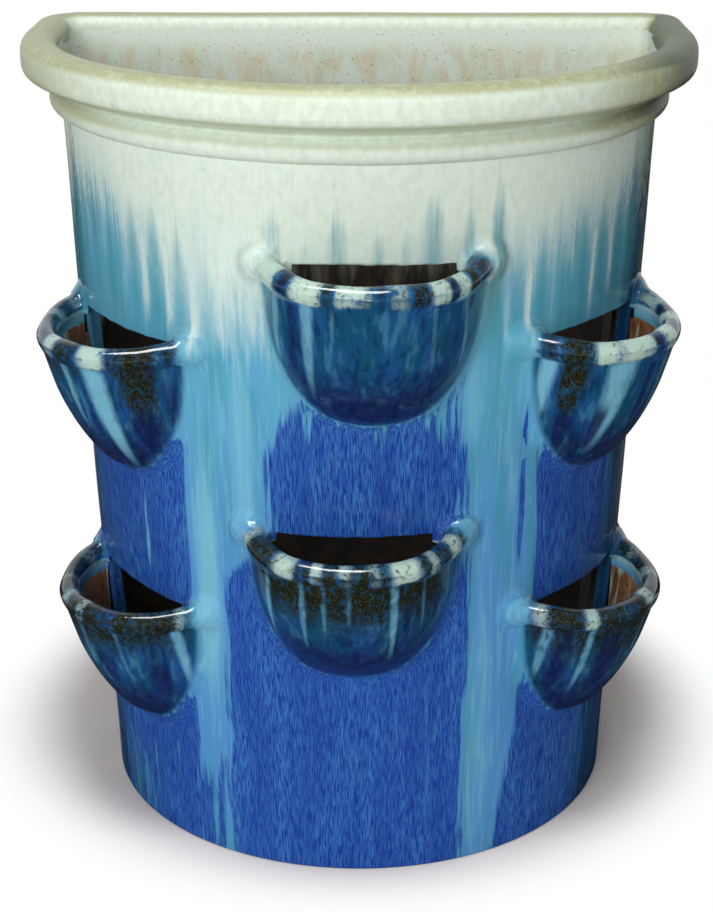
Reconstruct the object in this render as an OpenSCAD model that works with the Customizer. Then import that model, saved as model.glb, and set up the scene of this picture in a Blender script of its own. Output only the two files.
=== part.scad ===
// Half-round pocket planter in glazed stoneware. A tapering half-round pot with a flat back stands
// against a wall. Six bowl pockets are luted over cut-outs in its front wall, so each one shares
// the soil of the pot. A rolled bead and a heavy rim finish the mouth.
// The origin lies on the underside, on the axis of the rounded front. The front faces -Y and the
// flat back faces +Y.

/* [Walls] */
// Outer radius of the rounded front at the floor
base_r = 226; // [200:1:250]
// Outer radius of the rounded front at the shoulder, below the bead
shoulder_r = 248; // [230:1:280]
// Height of the shoulder, where the walls end
shoulder_z = 612; // [585:1:700]
// Distance from the axis of the rounded front to the flat back
back_set = 95; // [75:1:130]
// Radius of the upright corners at the back
corner_r = 40; // [28:1:55]
// Thickness of the front wall
wall_t = 17; // [12:0.5:22]
// Thickness of the back wall, as wide as the rim so that the inside runs flush up to the mouth
back_t = 30; // [12:0.5:36]
// Thickness of the floor
floor_t = 20; // [12:1:30]

/* [Neck and bead] */
// Height of the upright part of the neck, behind the bead
neck_h = 20; // [16:1:30]
// Height of the flare that carries the rim
flare_h = 10; // [6:1:20]
// Radius of the roll of clay that makes the bead
bead_r = 10.5; // [7:0.5:13]
// Height of the bead's centre above the shoulder
bead_z = 11; // [8:0.5:16]

/* [Rim] */
// How far the rim stands out from the shoulder
rim_out = 32; // [22:1:42]
// Width of the rim from its outside to its inside
rim_w = 30; // [24:1:36]
// Height of the rim
rim_h = 31; // [26:1:45]
// How far the flare stays back from the rim's outer face
rim_ledge = 13; // [8:1:20]
// Radius of the rim's upright corners at the back
rim_corner_r = 40; // [36:1:60]
// Rounding along the top edges of the rim
rim_top_r = 12; // [6:0.5:13]
// Rounding along the lower outer edge of the rim
rim_under_r = 9; // [4:0.5:12]
// Rounding along the lower inner edge of the rim
rim_foot_r = 3; // [1:0.5:5]

/* [Drain hole] */
// Radius of the drain hole
drain_r = 12; // [8:0.5:20]
// Distance of the drain hole in front of the axis of the rounded front
drain_front = 65; // [30:1:120]

/* [Pocket bowls] */
// Outer radius of a bowl, square to its own leaning axis
bowl_r = 85; // [74:1:90]
// Thickness of a bowl
bowl_t = 11; // [8:0.5:14]
// Lean of a bowl's axis, towards the pot as it goes down, in degrees
bowl_lean = 15.5; // [8:0.5:20]
// How far inside the wall's face the bowl's axis crosses the level of the lip
bowl_set = 27.5; // [20:0.5:34]
// Length of the straight part of a bowl's side below the lip
side_straight = 23; // [15:1:35]
// Length down the axis at which the side turns into the foot of the bowl
side_end = 96; // [88:1:108]
// Radius of the bulge of a bowl's side
side_bulge_r = 172; // [150:2:220]
// Radius of the turn into the foot of a bowl
foot_turn_r = 30; // [20:1:50]

/* [Pocket lips] */
// Radius of the coil of clay that makes a lip
lip_r = 8.7; // [7:0.1:10]
// Radius of the lip's ring, at the middle of the coil
lip_ring_r = 84; // [70:0.5:90]
// How far inside the wall's face the centre of the lip's ring lies
lip_set = 31; // [22:1:42]
// How far the coil is pressed flat where it sits on the bowl, below its middle
lip_seat = 6; // [4:0.5:6.5]
// Radius of the round lug that ends each lip on the wall
lug_r = 12.5; // [10:0.5:15]
// How far a lug lies outside the line of the lip's ring
lug_out = 4; // [0:0.5:8]

/* [Wall openings behind the pockets] */
// Width of an opening
opening_w = 132; // [100:1:136]
// Height of an opening's top edge above the middle of the lip
opening_rise = 2; // [0:0.5:8]
// Depth of an opening below the middle of the lip
opening_drop = 84; // [60:1:92]
// Rounding of the lower corners of an opening
opening_turn_r = 50; // [20:1:50]
// Rounding of the upper corners of an opening
opening_top_r = 8; // [3:0.5:12]

/* [Pocket places] */
// Turn of the upper centre pocket from straight ahead, in degrees, positive to the right
upper_centre_turn = 2.6; // [-8:0.1:8]
// Height of the middle of its lip
upper_centre_z = 533; // [500:1:550]
// How much deeper its bowl is than the common bowl
upper_centre_deeper = 4; // [-8:1:8]
// Turn of the lower centre pocket
lower_centre_turn = -1.1; // [-8:0.1:8]
// Height of the middle of its lip
lower_centre_z = 310; // [290:1:340]
// How much deeper its bowl is than the common bowl
lower_centre_deeper = 0; // [-8:1:8]
// Turn of the upper left pocket
upper_left_turn = -53.2; // [-56:0.1:-50]
// Height of the middle of its lip
upper_left_z = 456; // [430:1:490]
// How much deeper its bowl is than the common bowl
upper_left_deeper = -4; // [-8:1:8]
// Turn of the upper right pocket
upper_right_turn = 52.2; // [50:0.1:56]
// Height of the middle of its lip
upper_right_z = 463; // [430:1:490]
// How much deeper its bowl is than the common bowl
upper_right_deeper = 0; // [-8:1:8]
// Turn of the lower left pocket
lower_left_turn = -54; // [-56:0.1:-50]
// Height of the middle of its lip
lower_left_z = 226; // [190:1:250]
// How much deeper its bowl is than the common bowl
lower_left_deeper = -3; // [-8:1:8]
// Turn of the lower right pocket
lower_right_turn = 54.4; // [50:0.1:56]
// Height of the middle of its lip
lower_right_z = 229; // [190:1:250]
// How much deeper its bowl is than the common bowl
lower_right_deeper = -4; // [-8:1:8]

/* [Hidden] */
// Facets of a full circle
$fn = 96;
// Extra length that lets a cut run past the face it cuts
over = 5;
// Heights of the parts of the mouth
flare_z = shoulder_z + neck_h;
rim_z = flare_z + flare_h;
rim_top_z = rim_z + rim_h;
// Outer size of the rim, and how far the flare that meets its underside stands out from the neck
rim_r = shoulder_r + rim_out;
flare_out = rim_out - rim_ledge;
rim_inner_r = rim_r - rim_w;
// Inner face of the back wall
back_inner = back_set - back_t;
// Length of a cutting block that is larger than the whole pot
huge = 2 * (rim_r + rim_top_z);
// A bowl's side bulges about a ring at this distance from its axis
bulge_centre = bowl_r - side_bulge_r;
// Angle at which the bulge ends and the foot turn starts
turn_angle = asin((side_end - side_straight) / side_bulge_r);
// How far the foot turn stands proud of the bulge's curve, so that the two cross at a clean edge
foot_proud = 0.2;
// Ring about which the foot of a bowl turns: distance from the axis, and length down it
foot_reach = side_bulge_r - foot_turn_r + foot_proud;
foot_x = bulge_centre + foot_reach * cos(turn_angle);
foot_s = side_straight + foot_reach * sin(turn_angle);
// Colours of the glazes and the clay
glaze_sky = [0.42, 0.68, 0.80];
glaze_cream = [0.74, 0.80, 0.70];
glaze_navy = [0.08, 0.22, 0.42];
glaze_olive = [0.42, 0.50, 0.38];
clay_inside = [0.62, 0.56, 0.46];
clay_back = [0.55, 0.42, 0.32];
// Each pocket: its turn, the height of its lip, and how much deeper its bowl is
upper_centre = [upper_centre_turn, upper_centre_z, upper_centre_deeper];
lower_centre = [lower_centre_turn, lower_centre_z, lower_centre_deeper];
upper_left = [upper_left_turn, upper_left_z, upper_left_deeper];
upper_right = [upper_right_turn, upper_right_z, upper_right_deeper];
lower_left = [lower_left_turn, lower_left_z, lower_left_deeper];
lower_right = [lower_right_turn, lower_right_z, lower_right_deeper];
POCKETS = [upper_centre, lower_centre, upper_left, upper_right, lower_left, lower_right];

// Outer radius of the rounded front at a height on the walls
function wall_r(z) = base_r + (shoulder_r - base_r) * z / shoulder_z;

// Distance from the axis of the front to the line between the two ends of a lip's ring
function ring_chord(r) = (pow(r - lip_set, 2) + pow(r, 2) - pow(lip_ring_r, 2)) / (2 * (r - lip_set));

// Sideways place of a lug, and its depth behind the wall's foremost line
function lug_x(r) = sqrt(pow(r, 2) - pow(ring_chord(r), 2)) + lug_out;
function lug_y(r) = r - sqrt(pow(r, 2) - pow(lug_x(r), 2));

// Everything in front of a plane y = limit
module keep_front_of(limit) {
    intersection() {
        children();
        translate([-huge / 2, limit - huge, -huge / 2])
            cube([huge, huge, 2 * huge]);
    }
}

// Everything behind a plane y = limit
module keep_behind(limit) {
    intersection() {
        children();
        translate([-huge / 2, limit, -huge / 2])
            cube([huge, huge, 2 * huge]);
    }
}

// Everything above a level plane
module keep_above(level) {
    intersection() {
        children();
        translate([-huge / 2, -huge / 2, level])
            cube([huge, huge, huge]);
    }
}

// Everything below a level plane
module keep_below(level) {
    intersection() {
        children();
        translate([-huge / 2, -huge / 2, level - huge])
            cube([huge, huge, huge]);
    }
}

// Solid with sides that lean outwards, from half-width r0 at z0 to r1 at z1, between two depths
module leaning_block(r0, r1, z0, z1, y0, y1) {
    translate([0, y1, 0])
        rotate([90, 0, 0])
            linear_extrude(y1 - y0)
                polygon([[-r0, z0], [r0, z0], [r1, z1], [-r1, z1]]);
}

// D-shaped solid that widens from r0 at z0 to r1 at z1: half a cone in front of straight sides
module square_d(r0, r1, z0, z1, back) {
    keep_front_of(0)
        translate([0, 0, z0])
            cylinder(r1 = r0, r2 = r1, h = z1 - z0);
    leaning_block(r0, r1, z0, z1, 0, back);
}

// Upright corner whose axis leans with the side wall, between two levels
module leaning_post(r0, r1, z0, z1, back, post_r) {
    lean = atan((r1 - r0) / (z1 - z0));
    reach = post_r / cos(lean);
    keep_above(z0)
        keep_below(z1)
            translate([r0 - reach, back - post_r, z0])
                rotate([0, lean, 0])
                    translate([0, 0, -post_r])
                        cylinder(r = post_r, h = z1 - z0 + 3 * post_r);
}

// D-shaped solid of the walls, with rounded back corners that keep one radius up their height
module round_d(r0, r1, z0, z1, back, post_r) {
    reach = post_r / cos(atan((r1 - r0) / (z1 - z0)));
    square_d(r0, r1, z0, z1, back - post_r);
    leaning_block(r0 - reach, r1 - reach, z0, z1, back - post_r, back);
    leaning_post(r0, r1, z0, z1, back, post_r);
    mirror([1, 0, 0])
        leaning_post(r0, r1, z0, z1, back, post_r);
}

// Outline of a D seen from above, with rounded back corners
module d_outline(r, back, turn_r) {
    intersection() {
        circle(r = r);
        translate([-r, -r])
            square([2 * r, r + back - turn_r]);
    }
    translate([-r, 0])
        square([2 * r, back - turn_r]);
    translate([turn_r - r, 0])
        square([2 * (r - turn_r), back]);
    for (side = [-1, 1])
        translate([side * (r - turn_r), back - turn_r])
            circle(r = turn_r);
}

// Sweep of a section round the front and the sides of a D, and round its back corners
module sweep_front(r, back, turn_r) {
    rotate([0, 0, 180])
        rotate_extrude(angle = 180)
            translate([r, 0])
                children();
    for (side = [0, 1])
        mirror([side, 0, 0]) {
            translate([r, back - turn_r, 0])
                rotate([90, 0, 0])
                    linear_extrude(back - turn_r)
                        children();
            translate([r - turn_r, back - turn_r, 0])
                rotate_extrude(angle = 90)
                    translate([turn_r, 0])
                        children();
        }
}

// Sweep of a section all round a D
module sweep_all(r, back, turn_r) {
    sweep_front(r, back, turn_r)
        children();
    translate([turn_r - r, back, 0])
        rotate([90, 0, 90])
            linear_extrude(2 * (r - turn_r))
                children();
}

// Section of the rim: its outer face is at x = 0 and it lies on the flare
module rim_section() {
    points = [
        [rim_foot_r - rim_w, 0], [-rim_under_r, 0],
        [0, rim_under_r], [0, rim_h - rim_top_r],
        [-rim_top_r, rim_h], [rim_top_r - rim_w, rim_h],
        [-rim_w, rim_h - rim_top_r], [-rim_w, rim_foot_r]
    ];
    polygon(points);
    translate([rim_foot_r - rim_w, rim_foot_r])
        circle(r = rim_foot_r);
    translate([-rim_under_r, rim_under_r])
        circle(r = rim_under_r);
    translate([-rim_top_r, rim_h - rim_top_r])
        circle(r = rim_top_r);
    translate([rim_top_r - rim_w, rim_h - rim_top_r])
        circle(r = rim_top_r);
}

// Solid outside shape of the walls
module outer_form() {
    round_d(base_r, shoulder_r, 0, shoulder_z, back_set, corner_r);
}

// Solid inside shape of the walls between two levels, as far back as a given depth
module inner_form(z0, z1, back) {
    square_d(wall_r(z0) - wall_t, wall_r(z1) - wall_t, z0, z1, back);
}

// Section of the flare, outside the upright face of the neck, with an overlap into it
module flare_section() {
    polygon([[-over, 0], [0, 0], [flare_out, flare_h], [-over, flare_h]]);
}

// Solid outside shape of the neck, whose flare is kept within the outline of the rim that it carries
module neck_form() {
    translate([0, 0, shoulder_z])
        linear_extrude(neck_h + flare_h)
            d_outline(shoulder_r, back_set, corner_r);
    intersection() {
        translate([0, 0, flare_z])
            sweep_front(shoulder_r, back_set, corner_r)
                flare_section();
        translate([0, 0, flare_z])
            linear_extrude(flare_h)
                d_outline(rim_r, back_set, rim_corner_r);
    }
}

// Section of the bead above the shoulder: a circle without what lies in the neck and its flare
module bead_section() {
    difference() {
        translate([0, bead_z])
            circle(r = bead_r);
        translate([-bead_r - over, bead_z - bead_r - over])
            square([bead_r + over, 2 * (bead_r + over)]);
        translate([0, neck_h])
            flare_section();
    }
}

// Moves a pocket's part from the wall's face at the lip's level to its place on the pot
module at_pocket(place) {
    rotate([0, 0, place[0]])
        translate([0, -wall_r(place[1]), place[1]])
            children();
}

// Outline of a wall opening, seen from the front, with the middle of the lip at its origin
module opening_outline() {
    half = opening_w / 2;
    intersection() {
        translate([-half, -opening_drop])
            square([opening_w, opening_drop + opening_rise]);
        union() {
            for (side = [-1, 1]) {
                translate([side * (half - opening_turn_r), opening_turn_r - opening_drop])
                    circle(r = opening_turn_r);
                translate([side * (half - opening_top_r), opening_rise - opening_top_r])
                    circle(r = opening_top_r);
            }
            polygon([
                [opening_turn_r - half, -opening_drop], [half - opening_turn_r, -opening_drop],
                [half, opening_turn_r - opening_drop], [half, opening_rise - opening_top_r],
                [half - opening_top_r, opening_rise], [opening_top_r - half, opening_rise],
                [-half, opening_rise - opening_top_r], [-half, opening_turn_r - opening_drop]
            ]);
        }
    }
}

// Cutter for a wall opening, long enough to clear the curve of the wall on both faces
module opening_cutter(place) {
    curve_depth = wall_r(place[1]) - sqrt(pow(wall_r(place[1]), 2) - pow(opening_w / 2, 2));
    length = wall_t + curve_depth + 3 * over;
    at_pocket(place)
        translate([0, length - over, 0])
            rotate([90, 0, 0])
                linear_extrude(length)
                    opening_outline();
}

// Half section of a bowl, measured down its axis. The inset is the clay's thickness, and the
// section starts above the lip by its head.
module bowl_section(inset, head) {
    side_r = side_bulge_r - inset;
    turn_r = foot_turn_r - inset;
    mirror([0, 1])
        union() {
            translate([0, -head])
                square([bowl_r - inset, head + side_straight]);
            intersection() {
                translate([bulge_centre, side_straight])
                    circle(r = side_r);
                translate([0, side_straight - over])
                    square([bowl_r, foot_s + turn_r * sin(turn_angle) - side_straight + over]);
            }
            intersection() {
                translate([foot_x, foot_s])
                    circle(r = turn_r);
                translate([0, foot_s])
                    square([bowl_r, foot_turn_r]);
            }
            translate([0, side_straight])
                square([foot_x, foot_s + turn_r - side_straight]);
        }
}

// Whole bowl of revolution, leaning into the pot and moved down its axis to make it deeper
module bowl_form(inset, head, deeper) {
    translate([0, bowl_set, 0])
        rotate([bowl_lean, 0, 0])
            translate([0, 0, -deeper])
                rotate_extrude()
                    bowl_section(inset, head);
}

// Half-round front wall with its straight sides and the six cut-outs behind the pockets
module front_wall() {
    color(glaze_sky)
        difference() {
            keep_front_of(back_inner)
                outer_form();
            inner_form(-over, shoulder_z + over, back_set);
            for (place = POCKETS)
                opening_cutter(place);
        }
}

// Flat slab with rounded upright edges that stands against a wall
module back_wall() {
    color(clay_back)
        keep_behind(back_inner)
            outer_form();
}

// Floor that lies inside the walls, with its drain hole
module floor_slab() {
    color(clay_inside)
        difference() {
            inner_form(0, floor_t, back_inner);
            translate([0, -drain_front, -over])
                cylinder(r = drain_r, h = floor_t + 2 * over);
        }
}

// Ring that turns outwards from the shoulder to carry the rim
module neck() {
    slope = (rim_inner_r - shoulder_r + wall_t) / (rim_z - shoulder_z);
    low_r = shoulder_r - wall_t - slope * over;
    high_r = rim_inner_r + slope * over;
    color(glaze_cream)
        difference() {
            neck_form();
            square_d(low_r, high_r, shoulder_z - over, rim_z + over, back_inner);
        }
}

// Roll of clay round the neck, wiped off flush at the back
module bead() {
    color(glaze_cream)
        keep_front_of(back_set)
            translate([0, 0, shoulder_z])
                sweep_front(shoulder_r, back_set, corner_r)
                    bead_section();
}

// Heavy rounded rim, carried all round the mouth
module rim() {
    color(glaze_olive)
        translate([0, 0, rim_z])
            sweep_all(rim_r, back_set, rim_corner_r)
                rim_section();
}

// Bowl of one pocket, cut level for its lip and fitted to the curve of the wall
module bowl(place) {
    color(glaze_navy)
        difference() {
            at_pocket(place)
                difference() {
                    keep_below(-lip_seat)
                        bowl_form(0, bowl_r, place[2]);
                    bowl_form(bowl_t, 2 * bowl_r, place[2]);
                }
            outer_form();
        }
}

// Coil of clay that makes the lip of one pocket, with a round lug where each end meets the wall
module lip(place) {
    r = wall_r(place[1]);
    color(glaze_olive)
        difference() {
            at_pocket(place)
                keep_above(-lip_seat)
                    union() {
                        translate([0, lip_set, 0])
                            rotate_extrude()
                                translate([lip_ring_r, 0])
                                    circle(r = lip_r);
                        for (side = [-1, 1])
                            translate([side * lug_x(r), lug_y(r), 0])
                                sphere(r = lug_r);
                    }
            outer_form();
        }
}

front_wall();
back_wall();
floor_slab();
neck();
bead();
rim();
bowl(upper_centre);  // bowl_upper_centre
lip(upper_centre);  // lip_upper_centre
bowl(lower_centre);  // bowl_lower_centre
lip(lower_centre);  // lip_lower_centre
bowl(upper_left);  // bowl_upper_left
lip(upper_left);  // lip_upper_left
bowl(upper_right);  // bowl_upper_right
lip(upper_right);  // lip_upper_right
bowl(lower_left);  // bowl_lower_left
lip(lower_left);  // lip_lower_left
bowl(lower_right);  // bowl_lower_right
lip(lower_right);  // lip_lower_right
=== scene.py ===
"""Half-round pocket planter in glazed stoneware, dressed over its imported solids.

Lengths are in millimetres until a mesh is made, and heights are measured from the underside. A place
on the wall is a turn in degrees from straight ahead, positive to the right, and a height. A place near
a pocket is (out, across, up): outwards from the wall, to the right, and up from the middle of the lip.
"""

import math

import bpy
import numpy as np
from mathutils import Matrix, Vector


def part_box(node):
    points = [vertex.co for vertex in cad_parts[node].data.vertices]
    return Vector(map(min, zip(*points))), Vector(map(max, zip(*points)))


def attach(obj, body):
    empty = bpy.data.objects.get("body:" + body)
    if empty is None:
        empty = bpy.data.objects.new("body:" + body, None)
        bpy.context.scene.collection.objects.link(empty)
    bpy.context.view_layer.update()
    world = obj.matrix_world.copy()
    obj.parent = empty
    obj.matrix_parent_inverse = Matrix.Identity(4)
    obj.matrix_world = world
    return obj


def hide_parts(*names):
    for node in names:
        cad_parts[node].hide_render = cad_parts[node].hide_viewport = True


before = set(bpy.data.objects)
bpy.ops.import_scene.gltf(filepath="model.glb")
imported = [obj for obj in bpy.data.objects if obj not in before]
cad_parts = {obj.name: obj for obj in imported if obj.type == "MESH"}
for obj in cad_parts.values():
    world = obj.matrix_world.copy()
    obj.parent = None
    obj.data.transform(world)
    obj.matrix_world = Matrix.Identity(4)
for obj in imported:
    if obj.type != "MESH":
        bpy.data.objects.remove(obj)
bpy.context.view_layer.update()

bl_info = {
    "name": "Half-round pocket planter",
    "version": (1, 0, 0),
    "blender": (4, 5, 0),
    "location": "3D View > Sidebar > Planter",
    "description": "Builds the glazed surfaces, the clay and the studio of a half-round pocket planter",
    "category": "Object",
}

# Sizes that the frame gives, in millimetres
METRE = 1000.0
SHOULDER_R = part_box("front_wall")[1].x * METRE
SHOULDER_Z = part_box("front_wall")[1].z * METRE
BACK_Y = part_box("back_wall")[1].y * METRE
BACK_INNER_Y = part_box("back_wall")[0].y * METRE
RIM_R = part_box("rim")[1].x * METRE
RIM_TOP_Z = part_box("rim")[1].z * METRE
RIM_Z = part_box("rim")[0].z * METRE

# Sizes of the walls, the bead and the rim
BASE_R = 226.0
CORNER_R = 40.0
WALL_SLOPE = (SHOULDER_R - BASE_R) / SHOULDER_Z
WALL_T = 17.0
BEAD_Z = SHOULDER_Z + 11.0
RIM_W = 30.0
MOUTH_CORNER_R = 14.0
FOOT_ROWS = (0.0, 0.3, 1.0)

# Marks of the way round a D, which counts turns in degrees on the round front: the end of the front,
# of the straight side and of the back corner, and the middle of the back
FRONT_END = 90.0
SIDE_STOP = 110.0
CORNER_STOP = 155.0
BACK_MIDDLE = 200.0
WHOLE_TURN = 360.0 / BACK_MIDDLE

# Sizes of a pocket
BOWL_R = 85.0
BOWL_T = 11.0
BOWL_LEAN = math.radians(15.5)
BOWL_SET = 27.5
SIDE_STRAIGHT = 23.0
SIDE_END = 96.0
SIDE_BULGE_R = 172.0
FOOT_TURN_R = 30.0
LIP_R = 8.7
LIP_RING_R = 84.0
LIP_SET = 31.0
LUG_OUT = 4.0
LUG_RISE = 2.5
LUG_SPREAD = 18.0
LUG_BACK = 15.0
LUG_PATCH_R = 30.0
OPENING_W = 134.0
OPENING_LOW_W = 126.0
OPENING_RISE = 2.0
OPENING_DROP = 84.0
OPENING_TURN_R = 50.0
OPENING_TOP_R = 8.0
OPENING_MIDDLE = (OPENING_RISE - OPENING_DROP) / 2.0
CUT_ROUND = 1.5

# How far the rings of points round an opening reach past it: at its sides and below, and above
COLLAR = 16.0
COLLAR_ABOVE = 14.0

# How far the glaze fills the inner corners: bowl to wall, lip to bowl, lug to lip, lug to wall
FILL_WALL = 9.0
FILL_LIP = 4.0
FILL_LUG = 7.0
FILL_LUG_WALL = 16.0

# How far each pocket's lip hangs down at its front, below its lugs
LIP_SAG = 7.0

# How rays are followed to a pocket's skin: steps, share of the distance that a step goes, and the gap
# to the skin that still counts as a hit
RAY_STEPS = 90
RAY_PACE = 0.9
RAY_GAP = 0.05

# How far the patches of a pocket's skin run on over each other, and past the fillet on the wall
PATCH_LAP = 2.0
WALL_LAP = 0.4

# Where rays to a bowl start, as (out, across, up): for its outside in the pot, for its inside in its mouth
BEHIND_BOWL = np.array([-60.0, 0.0, -6.0])
BOWL_MOUTH = np.array([12.0, 0.0, -8.0])

# Each pocket: its turn in degrees, the height of its lip, how much deeper its bowl is, and the
# radius of its lugs, which are round only on the upper middle pocket and smeared out on the others
POCKETS = {
    "upper_centre": (2.6, 533.0, 4.0, 12.0),
    "lower_centre": (-1.1, 310.0, 0.0, 9.0),
    "upper_left": (-53.2, 456.0, -4.0, 9.0),
    "upper_right": (52.2, 463.0, 0.0, 9.5),
    "lower_left": (-54.0, 226.0, -3.0, 9.0),
    "lower_right": (54.4, 229.0, -4.0, 9.0),
}


# Small helpers for numbers


def unit(vectors):
    """Vectors brought to a length of 1."""
    return vectors / np.maximum(np.linalg.norm(vectors, axis=-1, keepdims=True), 1e-9)


def triples(x, y, z):
    """Points or directions as rows of x, y and z, from arrays or single numbers."""
    return np.stack(np.broadcast_arrays(x, y, z), -1).reshape(-1, 3)


def way(x, low, high):
    """How much of the way from low to high lies behind x, from 0 to 1; low may be above high."""
    return np.clip((x - low) / (high - low), 0.0, 1.0)


def smooth(x, low, high):
    """Rises from 0 at low to 1 at high along 3 t squared less 2 t cubed; low may be above high."""
    t = way(x, low, high)
    return t * t * (3.0 - 2.0 * t)


def rise(x, middle, width):
    """Rises evenly from 0 to 1 over a width round its middle; a negative width makes it fall."""
    return np.clip(0.5 + (x - middle) / width, 0.0, 1.0)


def hump(x, middle, width):
    """A soft hump of 1 at its middle, which falls off as e to the minus square of its distance in widths."""
    return np.exp(-(((x - middle) / width) ** 2))


def band(x, low, high, soft):
    """1 between low and high, and 0 outside, with edges that are soft wide on each side."""
    return smooth(x, low - soft, low + soft) * smooth(x, high + soft, high - soft)


def blend_union(a, b, width):
    """The nearer of two distances, rounded off where they differ by less than the width.

    It is the smaller one less width h (1 - h), where h goes from 0 to 1 across the corner.
    """
    h = np.clip(0.5 + 0.5 * (b - a) / width, 0.0, 1.0)
    return b + (a - b) * h - width * h * (1.0 - h)


def ripple(x, y, seed):
    """A slow hand-made unevenness from -1 to 1: a sum of five crossed waves with fixed phases."""
    height = 0.0
    for k in range(1, 6):
        angle = seed * 1.7 + k * 2.4
        wave = math.cos(angle) * x + math.sin(angle) * y
        height = height + np.sin(wave * (0.6 + 0.35 * k) + seed * 3.1 + k * 1.3) / 5.0
    return height


# The walls


def wall_r(z):
    """Radius of the rounded front: it grows evenly from the floor to the shoulder."""
    return BASE_R + WALL_SLOPE * z


def unevenness(turn, z):
    """How far the glazed face stands off its true cone: slow waves 40 to 90 degrees long."""
    fade = smooth(z, 0.0, 40.0) * smooth(z, SHOULDER_Z, SHOULDER_Z - 40.0)
    return 0.55 * ripple(turn / 14.0, z / 60.0, 1.0) * fade * smooth(np.abs(turn), 100.0, 80.0)


def face_r(turn, z):
    """Radius of the glazed face at a turn in degrees and a height."""
    return wall_r(z) + unevenness(turn, z)


def d_path(t, r, back, corner):
    """Places and outward normals along a D, where t runs from the front to both sides.

    Up to FRONT_END it is the turn on a circle of radius r. Then it goes straight back, round the
    corner, and along the back to its middle.
    """
    side = np.sign(t)
    a = np.abs(t)
    turn = np.radians(np.minimum(a, FRONT_END))
    x, y = r * np.sin(turn), -r * np.cos(turn)
    nx, ny = np.sin(turn), -np.cos(turn)
    beyond, past_side = a > FRONT_END, a > SIDE_STOP
    straight = way(a, FRONT_END, SIDE_STOP) * (back - corner)
    x, y = np.where(beyond, r, x), np.where(beyond, straight, y)
    bend = np.radians(way(a, SIDE_STOP, CORNER_STOP) * 90.0)
    x = np.where(past_side, r - corner + corner * np.cos(bend), x)
    y = np.where(past_side, back - corner + corner * np.sin(bend), y)
    nx, ny = np.where(beyond, np.cos(bend), nx), np.where(beyond, np.sin(bend), ny)
    x = np.where(a > CORNER_STOP, (r - corner) * (1.0 - way(a, CORNER_STOP, BACK_MIDDLE)), x)
    return side * x, y, side * nx, ny


# The pockets, as distances from their surfaces


def facing(place, out, across):
    """Lengths outwards and to the right at a pocket, as lengths along the pot's own x and y."""
    turn = math.radians(place[0])
    x = out * math.sin(turn) + across * math.cos(turn)
    return x, -out * math.cos(turn) + across * math.sin(turn)


def to_pot(place, out, across, up):
    """Moves places near a pocket to the pot's own x, y and z."""
    return triples(*facing(place, wall_r(place[1]) + out, across), place[1] + up)


def wall_place(place, out, across, up):
    """Turn in degrees, height and distance from the axis of the front, of a place near a pocket."""
    reach = wall_r(place[1]) + out
    turn = place[0] + np.degrees(np.arctan2(across, reach))
    return turn, place[1] + up, np.hypot(reach, across)


def bowl_place(place, out, across, up):
    """Distance from the bowl's leaning axis, depth down it, and angle round it in degrees."""
    from_axis = out + BOWL_SET
    depth = -up * math.cos(BOWL_LEAN) - from_axis * math.sin(BOWL_LEAN) - place[2]
    forward = from_axis * math.cos(BOWL_LEAN) - up * math.sin(BOWL_LEAN)
    return np.hypot(forward, across), depth, np.degrees(np.arctan2(across, forward))


def bowl_distance(radius, depth, inset):
    """Distance from a bowl, or from a surface set in from it by an inset.

    Going down, it has a straight side, the arc of its bulge, the turn of its foot and a flat bottom.
    """
    centre = BOWL_R - SIDE_BULGE_R
    turn = math.asin((SIDE_END - SIDE_STRAIGHT) / SIDE_BULGE_R)
    foot_x = centre + (SIDE_BULGE_R - FOOT_TURN_R) * math.cos(turn)
    foot_z = SIDE_STRAIGHT + (SIDE_BULGE_R - FOOT_TURN_R) * math.sin(turn)
    side = np.hypot(radius - centre, depth - SIDE_STRAIGHT) - SIDE_BULGE_R
    foot = np.hypot(radius - foot_x, depth - foot_z) - FOOT_TURN_R
    bottom = depth - foot_z - FOOT_TURN_R
    past = np.arctan2(depth - SIDE_STRAIGHT, radius - centre) > turn
    low = np.where(radius > foot_x, foot, bottom)
    return np.where(depth < SIDE_STRAIGHT, radius - BOWL_R, np.where(past, low, side)) + inset


def lip_line(angle):
    """Radius of the coil along the lip, pressed a little uneven by hand, for an angle in degrees."""
    return LIP_R + 0.35 * np.sin(np.radians(angle) * 5.0 + 0.6) + 0.25 * np.sin(np.radians(angle) * 11.0)


def lug_centre(place):
    """Sideways place and depth of a lug, where the lip's ring meets the wall."""
    r = wall_r(place[1])
    chord = ((r - LIP_SET) ** 2 + r**2 - LIP_RING_R**2) / (2.0 * (r - LIP_SET))
    across = math.sqrt(r**2 - chord**2) + LUG_OUT
    return across, math.sqrt(r**2 - across**2) - r


def lug_distance(place, out, across, up):
    """Distance from the nearer lug: a flattened ball with a shallow spiral groove."""
    x, depth = lug_centre(place)
    side = np.sign(across + 1e-9)
    dx, dz, dy = (np.abs(across) - x), up - LUG_RISE, out - depth
    spread = np.hypot(dx, dz)
    swirl = 0.4 * np.sin(spread * 1.15 + side * np.arctan2(dz, dx)) * smooth(spread, 2.0, 6.0)
    return np.sqrt(dx**2 + dz**2 + (1.15 * dy) ** 2) - place[3] - swirl * smooth(spread, 15.0, 9.0)


def wall_fill(place, out, across, up):
    """How far the glaze fills the corner at the wall: most round the lugs, and least inside the bowl."""
    spread = np.hypot(np.abs(across) - lug_centre(place)[0], up)
    fill = FILL_WALL + (FILL_LUG_WALL - FILL_WALL) * np.exp(-((spread / LUG_SPREAD) ** 2))
    radius, depth, _ = bowl_place(place, out, across, up)
    inside = smooth(bowl_distance(radius, depth, 0.5 * BOWL_T), 1.0, -4.0) * smooth(up, -3.0, -9.0)
    return fill * (1.0 - 0.8 * inside)


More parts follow.
